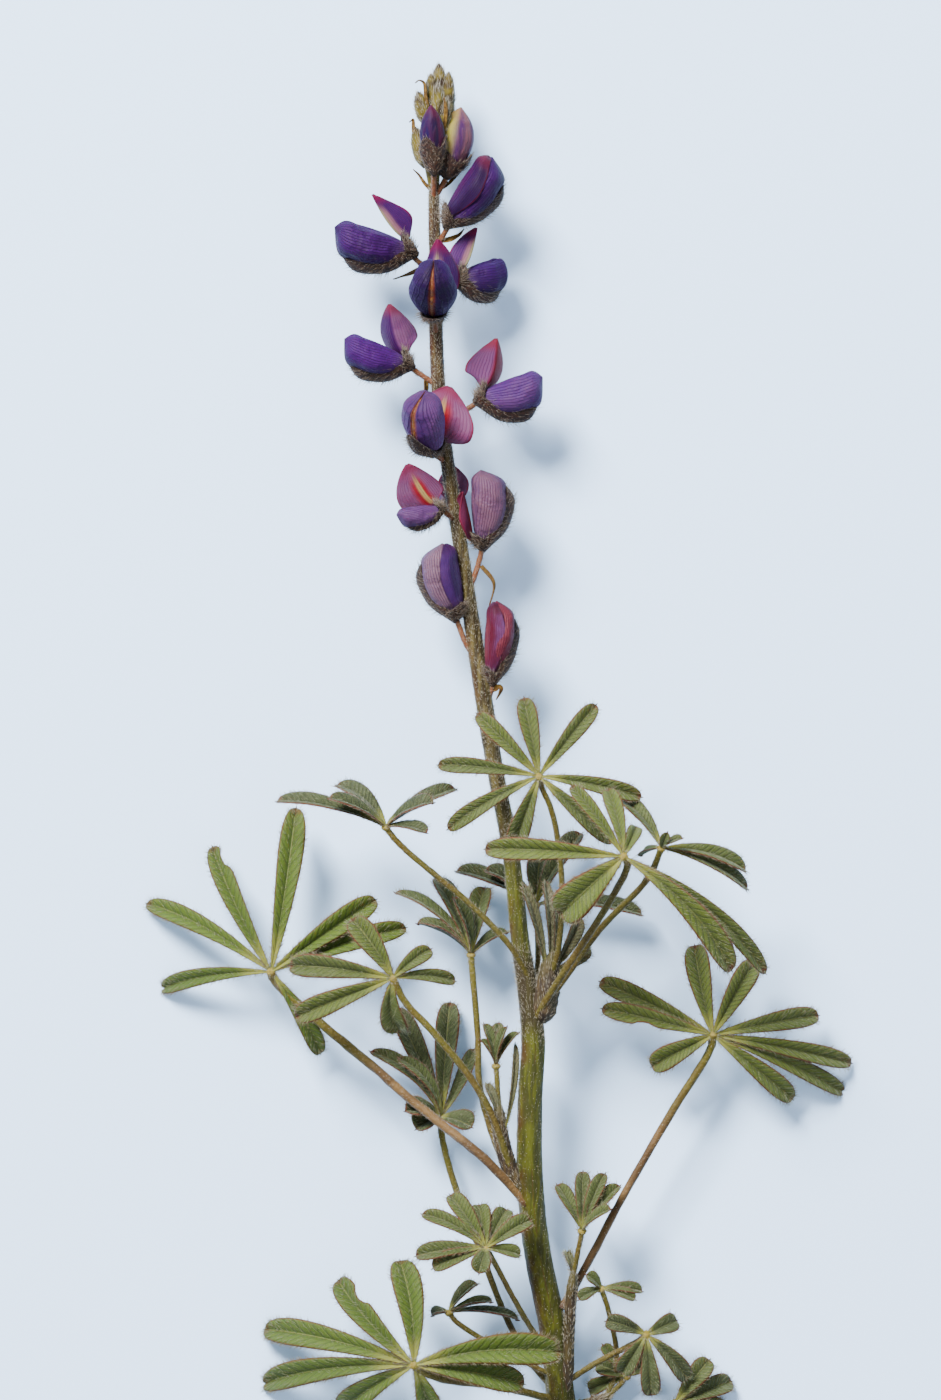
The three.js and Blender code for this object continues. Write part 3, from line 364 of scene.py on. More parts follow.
# Wings in profile, as shares of the flower's length: how far forward, lower edge, upper edge, half breadth.
WING_PROFILE = [
    (0.03, -0.08, 0.08, 0.08), (0.18, -0.2, 0.12, 0.19), (0.38, -0.28, 0.15, 0.26),
    (0.7, -0.28, 0.17, 0.27), (0.92, -0.15, 0.16, 0.15), (1.0, 0.08, 0.08, 0.0),
]
# Round one wing from its lower edge to its upper edge and over it: how high, how far out.
WING_RING = [(0, 0.07), (0.12, 0.62), (0.35, 1.0), (0.72, 0.92), (0.93, 0.66), (1.0, 0.4), (1.08, 0.12)]
# A banner: its half width along it, how far its edges sweep back, and where it starts and bends upwards.
BANNER_OUTLINE = [
    (0, 0.1), (0.14, 0.27), (0.3, 0.38), (0.5, 0.43), (0.7, 0.4), (0.86, 0.27), (0.95, 0.14), (1.0, 0.03),
]
BANNER_SWEEP = 0.16
BANNER_ROOT = (0.06, 0.14)
BANNER_KNEE = (0.3, 0.18)
# A calyx in profile, as the wings are.
CALYX_PROFILE = [
    (-0.12, -0.02, 0.02, 0.03), (0.0, -0.13, 0.13, 0.13), (0.13, -0.26, 0.2, 0.19), (0.4, -0.38, 0.22, 0.2),
    (0.68, -0.37, 0.2, 0.18), (0.86, -0.2, 0.1, 0.04),
]
# Half widths along an opening bud, along the cup under it and along a closed bud.
OPENING_OUTLINE = [(0, 0.05), (0.1, 0.5), (0.35, 0.95), (0.6, 1.0), (0.85, 0.6), (1, 0.04)]
CUP_OUTLINE = [(0, 0.1), (0.2, 0.45), (0.5, 0.85), (0.8, 1.1), (1.0, 1.12)]
CLOSED_OUTLINE = [(0, 0.2), (0.2, 0.82), (0.45, 1.0), (0.7, 0.86), (0.88, 0.5), (1, 0.04)]
# A leaf's hub in profile: how high, how wide.
HUB_PROFILE = [(-0.7, 0.1), (-0.5, 0.6), (-0.1, 0.95), (0.12, 0.95), (0.3, 0.7), (0.38, 0.35), (0.34, 0.08)]
# The point of a leaflet: how far out, how wide.
MUCRO_PROFILE = [(-0.4, 0.12), (0.1, 0.1), (0.38, 0.02)]
# The stem's hairs: from where to where along it, how many, and how long.
STEM_HAIRS = [(0.0, 0.45, 2600, 0.32), (0.27, 0.36, 900, 0.6), (0.45, 1.0, 5200, 0.5)]


def place(point):
    right, down, height = point[:3]
    return np.array([(right - PLAN_CENTRE[0]) * SQUARE, (PLAN_CENTRE[1] - down) * SQUARE, height])


def direction(aim):
    turn, pitch = np.radians(aim)
    return np.array([math.cos(pitch) * math.cos(turn), math.cos(pitch) * math.sin(turn), math.sin(pitch)])


def unit(vector):
    return vector / np.maximum(np.linalg.norm(vector, axis=-1, keepdims=True), 1e-9)


def square_to(axis, vector):
    """The part of a direction that is square to an axis."""
    return unit(vector - axis * np.dot(vector, axis) / np.dot(axis, axis))


def around(sides):
    return np.linspace(0, 2 * math.pi, sides, endpoint=False)[:, None]


def circle(turns, side, other):
    return np.cos(turns) * side + np.sin(turns) * other


def moved(places, *moves):
    """Places moved some way by a number, or by each number of a grid."""
    for way, far in moves:
        places = places + way * np.asarray(far)[..., None]
    return places


def away(facing, out):
    """Facings, each turned to the side that "out" points to."""
    return facing * np.sign((facing * out).sum(axis=1))[:, None]


def nearest(centres, points):
    index = np.linalg.norm(points[:, None] - centres[None], axis=2).argmin(axis=1)
    return centres[index]


def smooth(knots, at):
    """A smooth line through rows of numbers whose first column is the place along it."""
    knots = np.asarray(knots, float)
    x, y = knots[:, 0], knots[:, 1:]
    slopes = np.gradient(y, x, axis=0)
    at = np.clip(at, x[0], x[-1])
    i = np.clip(np.searchsorted(x, at, side="right") - 1, 0, len(x) - 2)
    span = (x[i + 1] - x[i])[..., None]
    t = (at - x[i])[..., None] / span
    start, end = (2 * t**3 - 3 * t**2 + 1), (3 * t**2 - 2 * t**3)
    leave, arrive = (t**3 - 2 * t**2 + t), (t**3 - t**2)
    return start * y[i] + end * y[i + 1] + span * (leave * slopes[i] + arrive * slopes[i + 1])


def curve(line, per_span):
    """Points and radii along a smooth centripetal line through places."""
    points = np.array([place(point) for point in line])
    radii = np.array([point[3] for point in line])
    ends = np.vstack([2 * points[0] - points[1], points, 2 * points[-1] - points[-2]])
    t = np.arange(per_span)[:, None] / per_span
    out, widths = [], []
    for i in range(len(points) - 1):
        before, start, end, after = ends[i : i + 4]
        d0, d1, d2 = np.sqrt(np.linalg.norm(np.diff(ends[i : i + 4], axis=0), axis=1))
        leave = ((start - before) / d0 - (end - before) / (d0 + d1) + (end - start) / d1) * d1
        arrive = ((end - start) / d1 - (after - start) / (d1 + d2) + (after - end) / d2) * d1
        run = end - start
        bend, twist = 3 * run - 2 * leave - arrive, leave + arrive - 2 * run
        out.append(start + leave * t + bend * t**2 + twist * t**3)
        widths.append(radii[i] + (radii[i + 1] - radii[i]) * t[:, 0])
    return np.vstack(out + [points[-1:]]), np.concatenate(widths + [radii[-1:]])


def quads(rows, columns, closed):
    """The faces of a grid of points; a closed one joins its last column to its first."""
    corner = np.arange(rows * columns).reshape(rows, columns)
    after = np.roll(corner, -1, axis=1)
    faces = np.stack([corner[:-1], after[:-1], after[1:], corner[1:]], axis=-1)
    return faces[:, : columns if closed else columns - 1].reshape(-1, 4)


def halves(faces):
    """Faces of four corners, each cut into two triangles."""
    return np.concatenate([faces[:, [0, 1, 2]], faces[:, [0, 2, 3]]])


class Shape:
    """The triangles of one piece, with the values that its finishes are painted by."""

    def __init__(self):
        self.points, self.values, self.faces, self.finish_of, self.finishes = [], [], [], [], []
        self.count = 0

    def add(self, points, faces, finish, along, across, tone):
        if finish not in self.finishes:
            self.finishes.append(finish)
        values = [np.broadcast_to(np.ravel(value), len(points)) for value in (along, across, tone)]
        self.points.append(points)
        self.values.append(np.stack(values, axis=1))
        self.faces.append(faces + self.count)
        self.finish_of.append(np.full(len(faces), self.finishes.index(finish)))
        self.count += len(points)

    def add_closed(self, points, faces, finish, along, across, tone):
        """Adds a closed body, with its faces turned outwards."""
        a, b, c = (points[faces[:, corner]] for corner in range(3))
        inside_out = (a * np.cross(b, c)).sum() < 0
        self.add(points, faces[:, ::-1] if inside_out else faces, finish, along, across, tone)

    def piece(self, name, slot):
        mesh = bpy.data.meshes.new(name)
        points = np.concatenate(self.points) * MILLIMETRE
        mesh.from_pydata(points.tolist(), [], np.concatenate(self.faces).tolist())
        for finish in self.finishes:
            mesh.materials.append(finish)
        mesh.polygons.foreach_set("material_index", np.concatenate(self.finish_of).astype(np.int32))
        values = np.concatenate(self.values)
        for column, attribute in enumerate(PAINTED_BY):
            layer = mesh.attributes.new(attribute, "FLOAT", "POINT")
            layer.data.foreach_set("value", values[:, column].astype(np.float32))
        mesh.shade_smooth()
        mesh.update()
        piece = bpy.data.objects.new(name, mesh)
        bpy.context.collection.objects.link(piece)
        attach(piece, "root")
        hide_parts(name.removesuffix("_look"))


def add_loft(shape, grid, finish, along=None, tone=0.0):
    """A closed body through rings of points, with its two ends drawn together."""
    rows, columns = grid.shape[:2]
    points = np.vstack([grid.reshape(-1, 3), grid[0].mean(axis=0), grid[-1].mean(axis=0)])
    ring = np.arange(columns)
    after = (ring + 1) % columns
    count, base = rows * columns, (rows - 1) * columns
    first = np.stack([np.full(columns, count), after, ring], axis=1)
    last = np.stack([np.full(columns, count + 1), base + ring, base + after], axis=1)
    faces = np.concatenate([halves(quads(rows, columns, True)), first, last])
    share = np.linspace(0, 1, rows) if along is None else along
    along = np.concatenate([np.repeat(share, columns), share[[0, -1]]])
    across = np.concatenate([np.tile(ring / columns, rows), [0, 0]])
    shape.add_closed(points, faces, finish, along, across, tone)


def add_sheet(shape, grid, thickness, finish, along, across, tone=0.0):
    """A thin closed sheet round a grid of points; its thickness is a number or a grid."""
    rows, columns = grid.shape[:2]
    facing = unit(np.cross(np.gradient(grid, axis=1), np.gradient(grid, axis=0)))
    half = np.broadcast_to(np.asarray(thickness, float), (rows, columns))[..., None] / 2
    count = rows * columns
    top = quads(rows, columns, False)
    right, down = np.arange(columns - 1), np.arange(rows - 1)
    edge = np.concatenate(
        [right, down * columns + columns - 1, count - 1 - right, (rows - 1 - down) * columns]
    )
    after = np.roll(edge, -1)
    rim = np.stack([edge, after, after + count, edge + count], axis=1)
    points = np.vstack([(grid + facing * half).reshape(-1, 3), (grid - facing * half).reshape(-1, 3)])
    faces = halves(np.concatenate([top[:, ::-1], top + count, rim]))
    along, across = (np.tile(np.broadcast_to(value, (rows, columns)).ravel(), 2) for value in (along, across))
    shape.add_closed(points, faces, finish, along, across, tone)


def scatter(grid, count, random, low=0.0, high=1.0, closed=True):
    """Random places on a grid of points: the place, the surface's facing there, and its way along."""
    if closed:
        grid = np.concatenate([grid, grid[:, :1]], axis=1)
    rows, columns = grid.shape[:2]
    row = random.uniform(low, high, count) * (rows - 1.001)
    column = random.uniform(0, 1, count) * (columns - 1.001)
    i, j = row.astype(int), column.astype(int)
    v, u = (row - i)[:, None], (column - j)[:, None]
    a, b, c, d = grid[i, j], grid[i, j + 1], grid[i + 1, j], grid[i + 1, j + 1]
    along = unit((c - a) * (1 - u) + (d - b) * u)
    right = unit((b - a) * (1 - v) + (d - c) * v)
    point = (a * (1 - u) + b * u) * (1 - v) + (c * (1 - u) + d * u) * v
    return point, unit(np.cross(right, along)), along


def add_hairs(shape, roots, ways, lengths, kind):
    """A closed spike of four faces on each root, of a kind that has a material and a radius."""
    finish, radius = kind
    ways = unit(ways)
    side = unit(np.cross(ways, np.array([0.31, 0.52, 0.79])))
    other = np.cross(ways, side)
    sunk = roots - ways * HAIR_ROOT
    corners = [sunk + radius * circle(turn, side, other) for turn in np.radians([90, 210, 330])]
    points = np.stack(corners + [roots + ways * lengths[:, None]], axis=1)
    faces = np.array([[0, 2, 1], [0, 1, 3], [1, 2, 3], [2, 0, 3]])
    faces = (faces + 4 * np.arange(len(roots))[:, None, None]).reshape(-1, 3)
    shape.add(points.reshape(-1, 3), faces, finish, np.tile([0, 0, 0, 1.0], len(roots)), 0.0, 0.5)


def grow_hairs(shape, grid, count, random, middle, stand, lean, lengths, kind, **where):
    """Hairs at random places round a middle, standing out and leaning by a number or by one from a range."""
    roots, facing, along = scatter(grid, count, random, **where)
    facing = away(facing, roots - nearest(np.atleast_2d(middle), roots))
    out, on = (random.uniform(*far, (count, 1)) if isinstance(far, tuple) else far for far in (stand, lean))
    add_hairs(shape, roots, facing * out + along * on, random.uniform(*lengths, count), kind)


def tube(line, sides, per_span, taper=0.0):
    """Rings of points along a line, drawn in at the ends by the taper, and the line itself."""
    centres, radii = curve(line, per_span)
    if taper:
        share = np.linspace(0, 1, len(radii))
        radii = radii * np.sqrt(np.clip(np.minimum(share, 1 - share) / taper, 0.02, 1))
    tangents = unit(np.gradient(centres, axis=0))
    side = square_to(tangents[0], np.array([0.3, 0.2, 1.0]))
    turns = around(sides)
    rings = []
    for centre, tangent, radius in zip(centres, tangents, radii):
        side = square_to(tangent, side)
        rings.append(centre + radius * circle(turns, side, np.cross(tangent, side)))
    return np.array(rings), centres


def swell(grid, centres, share):
    """Rings of points, moved out from their centres by a share of their distance."""
    return centres[:, None] + (grid - centres[:, None]) * (1 + share)[..., None]


def with_radius(line, radius):
    return [list(point[:3]) + [radius] for point in line]


def add_stalk(shape, line, radius, finish, random, hairs, tone=0.5, clasp=0.0):
    """A slender stalk with a slightly uneven skin, short hairs and a broader, clasping foot."""
    grid, centres = tube(with_radius(line, radius), 10, 7)
    uneven = 0.05 * random.normal(size=grid.shape[:2])
    foot = clasp * np.clip(np.linspace(-7, 1, len(grid)), 0, 1)[:, None]
    grid = swell(grid, centres, uneven + foot)
    add_loft(shape, grid, finish, tone=tone)
    grow_hairs(shape, grid, hairs, random, centres, 1, (-0.9, -0.1), (0.2, 0.48), HAIR)


# Finishes.


def rgb(red, green, blue, gain=PIGMENT_GAIN, richness=RICHNESS):
    """The pigment that looks like these 0 to 255 numbers in the scene's bright light."""
    shares = [value / 255 for value in (red, green, blue)]
    linear = [v / 12.92 if v <= 0.04045 else ((v + 0.055) / 1.055) ** 2.4 for v in shares]
    grey = sum(linear) / 3
    return tuple(max(0.0, grey + (v - grey) * richness) * gain for v in linear) + (1.0,)


class Finish:
    """A node material round one Principled shader, with short calls for the nodes that feed it.

    Wherever a colour is asked for, it is a node's output or what rgb() takes.
    """

    def __init__(self, name, roughness, specular, sheen=0.0, sheen_tint=(255, 255, 255), subsurface=0.0):
        self.material = bpy.data.materials.new(name)
        self.material.use_nodes = True
        self.tree = self.material.node_tree
        self.shader = self.tree.nodes["Principled BSDF"]
        self.set(
            self.shader,
            {
                "Roughness": roughness, "Specular IOR Level": specular, "Sheen Weight": sheen,
                "Sheen Roughness": 0.5, "Sheen Tint": (*sheen_tint, 1.0), "Subsurface Weight": subsurface,
                "Subsurface Scale": 0.0008,
            },
        )

    def set(self, node, inputs):
        """Feeds a node's inputs from other nodes' outputs, from colours (tuples) or from plain settings."""
        for name, source in inputs.items():
            if isinstance(source, bpy.types.NodeSocket):
                self.tree.links.new(source, node.inputs[name])
            else:
                node.inputs[name].default_value = rgb(*source) if isinstance(source, tuple) else source

    def node(self, kind, output, inputs, **settings):
        node = self.tree.nodes.new("ShaderNode" + kind)
        for name, setting in settings.items():
            setattr(node, name, setting)
        self.set(node, inputs)
        return node.outputs[output]

    def value(self, attribute):
        return self.node("Attribute", "Fac", {}, attribute_name=attribute)

    def math(self, operation, *values):
        return self.node("Math", 0, dict(enumerate(values)), operation=operation)

    def plus(self, first, second):
        return self.math("ADD", first, second)

    def times(self, first, second):
        return self.math("MULTIPLY", first, second)

    def band(self, value, low, high):
        """Goes smoothly from 0 to 1 between two values; from 1 to 0 where low is the larger."""
        rising = low < high
        inputs = {"Value": value, "From Min": min(low, high), "From Max": max(low, high)}
        inputs.update({"To Min": 0.0 if rising else 1.0, "To Max": 1.0 if rising else 0.0})
        return self.node("MapRange", 0, inputs, interpolation_type="SMOOTHSTEP")

    def near(self, value, middle, far, close):
        """Rises from 0 to 1 as a value comes from far off to close by a middle."""
        return self.band(self.math("ABSOLUTE", self.math("SUBTRACT", value, middle)), far, close)

    def noise(self, scale, detail, stretch=(1, 1, 1)):
        """Noise over the object's own place, with its grain in cells per metre."""
        here = self.node("TexCoord", "Object", {})
        here = self.node("Mapping", "Vector", {"Vector": here, "Scale": list(stretch)})
        return self.node("TexNoise", "Fac", {"Vector": here, "Scale": scale, "Detail": detail})

    def patches(self, scale, detail, low, high, stretch=(1, 1, 1)):
        return self.band(self.noise(scale, detail, stretch), low, high)

    def veins(self, fan, scale, detail, wobble, far, close):
        """Fine lines, one wherever a value that fans out grows by 1, made uneven by noise."""
        phase = self.math("FRACT", self.plus(fan, self.times(self.noise(scale, detail), wobble)))
        return self.near(phase, 0.5, far, close)

    def mix(self, share, first, second):
        return self.node("Mix", "Result", {"Factor": share, "A": first, "B": second}, data_type="RGBA")

    def layers(self, ground, *layers):
        """Colours laid over a ground in turn, each with the share that it covers and its strength."""
        for colour, share, strength in layers:
            ground = self.mix(self.times(share, strength), ground, colour)
        return ground

    def done(self, colour, height, depth, strength=1.0):
        """The material, with its colour and a bump of this depth in millimetres."""
        bump = {"Height": height, "Strength": strength, "Distance": depth * MILLIMETRE}
        self.set(self.shader, {"Normal": self.node("Bump", "Normal", bump), "Base Color": colour})
        return self.material


def hair_kind(name, radius, root, shaft, tip):
    """A kind of hair: its material and its radius."""
    finish = Finish(name, 0.45, specular=0.5, sheen=0.2)
    speck = finish.patches(9000, 2, 0.35, 0.65)
    colour = finish.layers(finish.mix(speck, root, shaft), (tip, finish.value("along"), 0.5))
    return finish.done(colour, speck, 0.01), radius


def leaf_finish(name, pale, deep, margin, silver, silkiness=1.0):
    """A leaflet's skin: feather veins, a pale midrib with painted shade in the fold beside it, a thin margin
    and silky patches.
    """
    finish = Finish(name, 0.6, specular=0.22, sheen=0.08, sheen_tint=(235, 238, 228), subsurface=0.05)
    along, across, tone = map(finish.value, PAINTED_BY)
    aside = finish.math("ABSOLUTE", across)
    feather = finish.math("SUBTRACT", finish.times(along, 15.0), finish.times(aside, 1.7))
    vein = finish.veins(feather, 900, 2, 0.35, 0.22, 0.06)
    patch = finish.patches(420, 4, 0.35, 0.7)
    speck = finish.patches(5200, 3, 0.4, 0.66)
    edge = finish.math("MAXIMUM", finish.band(aside, 0.82, 0.95), finish.band(along, 0.94, 0.985))
    skin = finish.layers(
        finish.mix(tone, pale, deep),
        (silver, patch, 0.2 * silkiness),
        # Painted shade: darker towards the midrib, where the folded halves meet.
        (deep, finish.band(aside, 0.5, 0.04), 0.45),
        (deep, vein, 0.5),
        (silver, speck, 0.3 * silkiness),
        ((164, 168, 108), finish.band(aside, 0.08, 0.02), 0.6),
        ((200, 200, 122), finish.band(along, 0.3, 0.06), 1.0),
        (margin, edge, 0.85),
    )
    ridges = finish.plus(finish.times(vein, -0.6), finish.times(speck, 0.3))
    return finish.done(skin, finish.plus(ridges, finish.band(aside, 0.1, 0.0)), 0.12)


def stalk_finish(name, ends, middle, blush, streak, dry, foot):
    """A stalk's skin: fine streaks, a blush here and there, dry bands on an old one and a dark foot."""
    finish = Finish(name, 0.55, specular=0.2, sheen=0.05)
    along, tone = finish.value("along"), finish.value("tone")
    grain = finish.patches(2600, 3, 0.38, 0.66)
    bark = finish.layers(dry, (foot, finish.patches(120, 2, 0.44, 0.56), 0.6))
    skin = finish.layers(
        finish.mix(finish.band(along, 0.0, 0.6), ends, middle),
        (blush, finish.patches(170, 3, 0.42, 0.6), 0.45),
        (streak, grain, 0.4),
        (bark, finish.times(finish.band(along, 0.28, 0.4), finish.band(tone, 0.45, 0.7)), 0.85),
        (foot, finish.band(along, 0.84, 1.0), 0.8),
    )
    return finish.done(skin, grain, 0.06)


def stem_finish():
    """The main stem: olive green low down, grey brown in the spike, with a red flush and pale flecks."""
    finish = Finish("stem_skin", 0.58, specular=0.16, sheen=0.05)
    along, across = finish.value("along"), finish.value("across")
    streak = finish.patches(1500, 4, 0.38, 0.68, (1, 0.12, 1))
    fleck = finish.patches(4200, 2, 0.56, 0.68, (1, 0.5, 1))
    flush = finish.times(finish.near(across, 0.75, 0.2, 0.04), finish.patches(210, 3, 0.42, 0.64))
    sleeve = finish.times(finish.band(along, 0.27, 0.29), finish.band(along, 0.36, 0.33))
    dusting = finish.times(fleck, finish.plus(finish.times(finish.band(along, 0.35, 0.7), 0.35), 0.12))
    skin = finish.layers(
        finish.mix(streak, (74, 76, 18), (114, 118, 38)),
        (finish.mix(streak, (66, 56, 34), (132, 120, 82)), finish.band(along, 0.38, 0.52), 1.0),
        (finish.mix(streak, (56, 36, 26), (116, 100, 72)), finish.band(along, 0.62, 0.85), 1.0),
        ((98, 50, 26), flush, 0.6),
        ((58, 42, 30), sleeve, 0.75),
        ((200, 196, 176), dusting, 1.0),
    )
    return finish.done(skin, finish.plus(streak, finish.times(fleck, 0.4)), 0.08)


def sheath_finish():
    finish = Finish("sheath_skin", 0.65, specular=0.25, sheen=0.08, sheen_tint=(210, 205, 200))
    grain = finish.patches(1900, 4, 0.36, 0.66, (1, 0.2, 1))
    skin = finish.layers(
        finish.mix(grain, (50, 34, 24), (98, 80, 52)),
        ((96, 92, 48), finish.patches(300, 3, 0.42, 0.6), 0.4),
        ((104, 98, 60), finish.band(finish.value("along"), 0.7, 1.0), 1.0),
    )
    return finish.done(skin, grain, 0.1)


def mottled_finish(name, dark, light, other, scale=1600, roughness=0.7):
    """A rough skin in three shades: calyx lips, buds, bracts and the discs where leaflets meet."""
    finish = Finish(name, roughness, specular=0.2, sheen=0.08, sheen_tint=(220, 214, 210))
    grain = finish.patches(scale, 4, 0.36, 0.66)
    skin = finish.layers(
        finish.mix(grain, dark, light),
        (other, finish.patches(scale / 4, 2, 0.42, 0.62), 0.4),
        (dark, finish.band(finish.value("along"), 0.55, 1.0), 0.5),
    )
    return finish.done(skin, grain, 0.08)


def wing_finish(name, young, old, vein_and_shade_colour, keel):
    """A wing petal: fine veins that run out from its foot, paler at the foot, and painted shade over its
    lower part, which leaves the upper edge paler.
    """
    finish = Finish(name, 0.6, specular=0.1, sheen=0.04, sheen_tint=(170, 140, 220), subsurface=0.08)
    along, across, tone = map(finish.value, PAINTED_BY)
    fan = finish.plus(finish.times(across, 7.0), finish.times(along, 2.0))
    vein = finish.veins(fan, 700, 3, 0.8, 0.16, 0.02)
    patch = finish.patches(380, 4, 0.34, 0.68)
    petal = finish.layers(
        finish.mix(tone, young, old),
        (old, patch, 0.5),
        (vein_and_shade_colour, vein, 0.4),
        ((160, 134, 176), finish.band(along, 0.3, 0.0), 0.55),
        # Painted shade: the vein colour darkens the wing's lower part, where shade falls, down to the
        # keel-coloured edge.
        (vein_and_shade_colour, finish.band(across, -0.35, -0.95), 0.6),
        (keel, finish.band(across, -0.95, -1.0), 1.0),
    )
    return finish.done(petal, finish.plus(vein, finish.times(patch, 2.0)), 0.14)


def banner_finish(name, young, old, patch_colour, crease, rim, far_half_shade=None, near_side=1):
    """A banner petal: a pale crease up its middle, a patch of another colour beside it and a fine rim.

    With a colour for its far half, it has no crease, the far half wears that darker colour as painted shade,
    and the half on its near side keeps its own colour.
    """
    finish = Finish(name, 0.6, specular=0.1, sheen=0.04, sheen_tint=(220, 180, 220), subsurface=0.08)
    along, across, tone = map(finish.value, PAINTED_BY)
    aside = finish.math("ABSOLUTE", across)
    vein = finish.veins(finish.times(aside, 9.0), 700, 3, 0.9, 0.18, 0.03)
    cloud = finish.patches(330, 4, 0.36, 0.66)
    if far_half_shade:
        marks = [
            # Painted shade: the half turned from the light takes the darker far-half colour.
            (far_half_shade, finish.band(finish.times(across, near_side), 0.12, -0.04), 1.0),
            (patch_colour, finish.band(along, 0.35, 0.0), 0.7),
        ]
    else:
        reach = finish.times(finish.band(along, 0.14, 0.3), finish.band(along, 0.92, 0.66))
        marks = [
            (patch_colour, finish.times(finish.band(aside, 0.42, 0.16), reach), 0.9),
            (crease, finish.times(finish.band(aside, 0.14, 0.03), reach), 1.0),
        ]
    edge = finish.math("MAXIMUM", finish.band(aside, 0.9, 0.98), finish.band(along, 0.8, 0.97))
    petal = finish.mix(finish.times(cloud, tone), young, old)
    petal = finish.layers(petal, (old, vein, 0.35), *marks, (rim, edge, 0.7))
    return finish.done(petal, finish.plus(vein, cloud), 0.08)


def bud_petal_finish(name, shaded, lit, margin):
    """Folded petals: a colour round each flank, with a blush between them and at the tip."""
    finish = Finish(name, 0.6, specular=0.1, sheen=0.04, subsurface=0.08)
    turn = finish.math("FRACT", finish.plus(finish.value("across"), 0.25))
    streak = finish.patches(1700, 3, 0.4, 0.66, (1, 0.25, 1))
    petal = finish.layers(
        finish.mix(finish.band(turn, 0.46, 0.56), shaded, lit),
        (margin, streak, 0.25),
        (margin, finish.band(finish.value("along"), 0.72, 1.0), 0.6),
        (margin, finish.near(turn, 0.36, 0.07, 0.02), 0.5),
    )
    return finish.done(petal, streak, 0.08)


def floor_finish():
    finish = Finish("pale_paper", 0.85, specular=0.15)
    grain = finish.patches(240, 4, 0.3, 0.7)
    paper = finish.layers((192, 217, 248, 1.0, 1.15), ((186, 211, 245, 1.0, 1.15), grain, 0.06))
    return finish.done(paper, grain, 0.01, 0.2)


HAIR = hair_kind("silver_hair", 0.034, (150, 138, 116, 0.4), (196, 188, 170, 0.42), (222, 218, 206, 0.5))
FRINGE = hair_kind("leaf_fringe", 0.032, (128, 92, 66), (160, 136, 96), (200, 186, 150, 0.34))
DOWN = hair_kind("leaf_down", 0.03, (140, 150, 92), (172, 180, 130), (206, 210, 176, 0.34))
BRISTLE = hair_kind("calyx_hair", 0.04, (58, 38, 28), (96, 70, 52), (180, 158, 128, 0.34))
LEAF = leaf_finish("leaf_skin", (116, 132, 58), (42, 54, 20), (128, 66, 52), (164, 174, 126))
LUSH_LEAF = leaf_finish("lush_leaf_skin", (108, 132, 30), (60, 82, 14), (118, 76, 42), (156, 168, 100), 0.4)
YOUNG_LEAF = leaf_finish("young_leaf_skin", (134, 132, 84), (66, 62, 36), (110, 66, 50), (196, 198, 176))
PETIOLE = stalk_finish(
    "leaf_stalk_skin", (128, 122, 42), (98, 92, 34), (112, 80, 42), (166, 152, 96), (162, 130, 96),
    (70, 36, 22),
)
PEDICEL = stalk_finish(
    "flower_stalk_skin", (176, 122, 92), (160, 104, 82), (120, 74, 62), (196, 168, 138), (176, 122, 92),
    (116, 84, 60),
)
STEM_SKIN = stem_finish()
SHEATH = sheath_finish()
HUB = mottled_finish("leaf_hub_skin", (176, 158, 88), (208, 192, 128), (222, 208, 150), 2400)
CALYX = mottled_finish("calyx_skin", (36, 16, 14), (84, 52, 42), (70, 56, 30), 2200)
BRACT = mottled_finish("dry_bract", (112, 84, 48), (176, 142, 88), (150, 110, 70), 2600)
BUD = mottled_finish("bud_skin", (50, 28, 20), (152, 136, 72), (108, 112, 28), 520)
KEEL = mottled_finish("keel_skin", (128, 70, 44), (190, 140, 96), (96, 44, 56), 1800, 0.5)

BUD_PETALS = {
    "opening_bud_01": bud_petal_finish("bud_petal_violet", (42, 16, 62), (48, 22, 84), (104, 32, 62)),
    "opening_bud_02": bud_petal_finish("bud_petal_mauve", (104, 70, 116), (200, 190, 118), (176, 128, 124)),
}
WINGS = {
    kind: wing_finish("wing_" + kind, *colours)
    # Each dress: young and old colours, the colour of the veins and of the painted shade on the lower part,
    # and the keel.
    for kind, *colours in (
        ("fresh", (62, 20, 84), (96, 56, 128), (28, 6, 50), (150, 92, 70)),
        ("ageing", (104, 70, 138), (132, 98, 140), (62, 28, 92), (150, 96, 80)),
        # A darker copy of the fresh colours: painted shade for wings that lie in shade.
        ("fresh_in_shade", (44, 12, 66), (78, 40, 112), (20, 2, 34), (120, 62, 30)),
        ("mauve", (134, 104, 150), (160, 130, 148), (98, 66, 116), (150, 96, 80)),
        ("crimson", (112, 34, 46), (150, 84, 96), (48, 8, 18), (100, 50, 40)),
        ("faded", (126, 90, 132), (156, 122, 136), (84, 40, 80), (150, 96, 80)),
    )
}
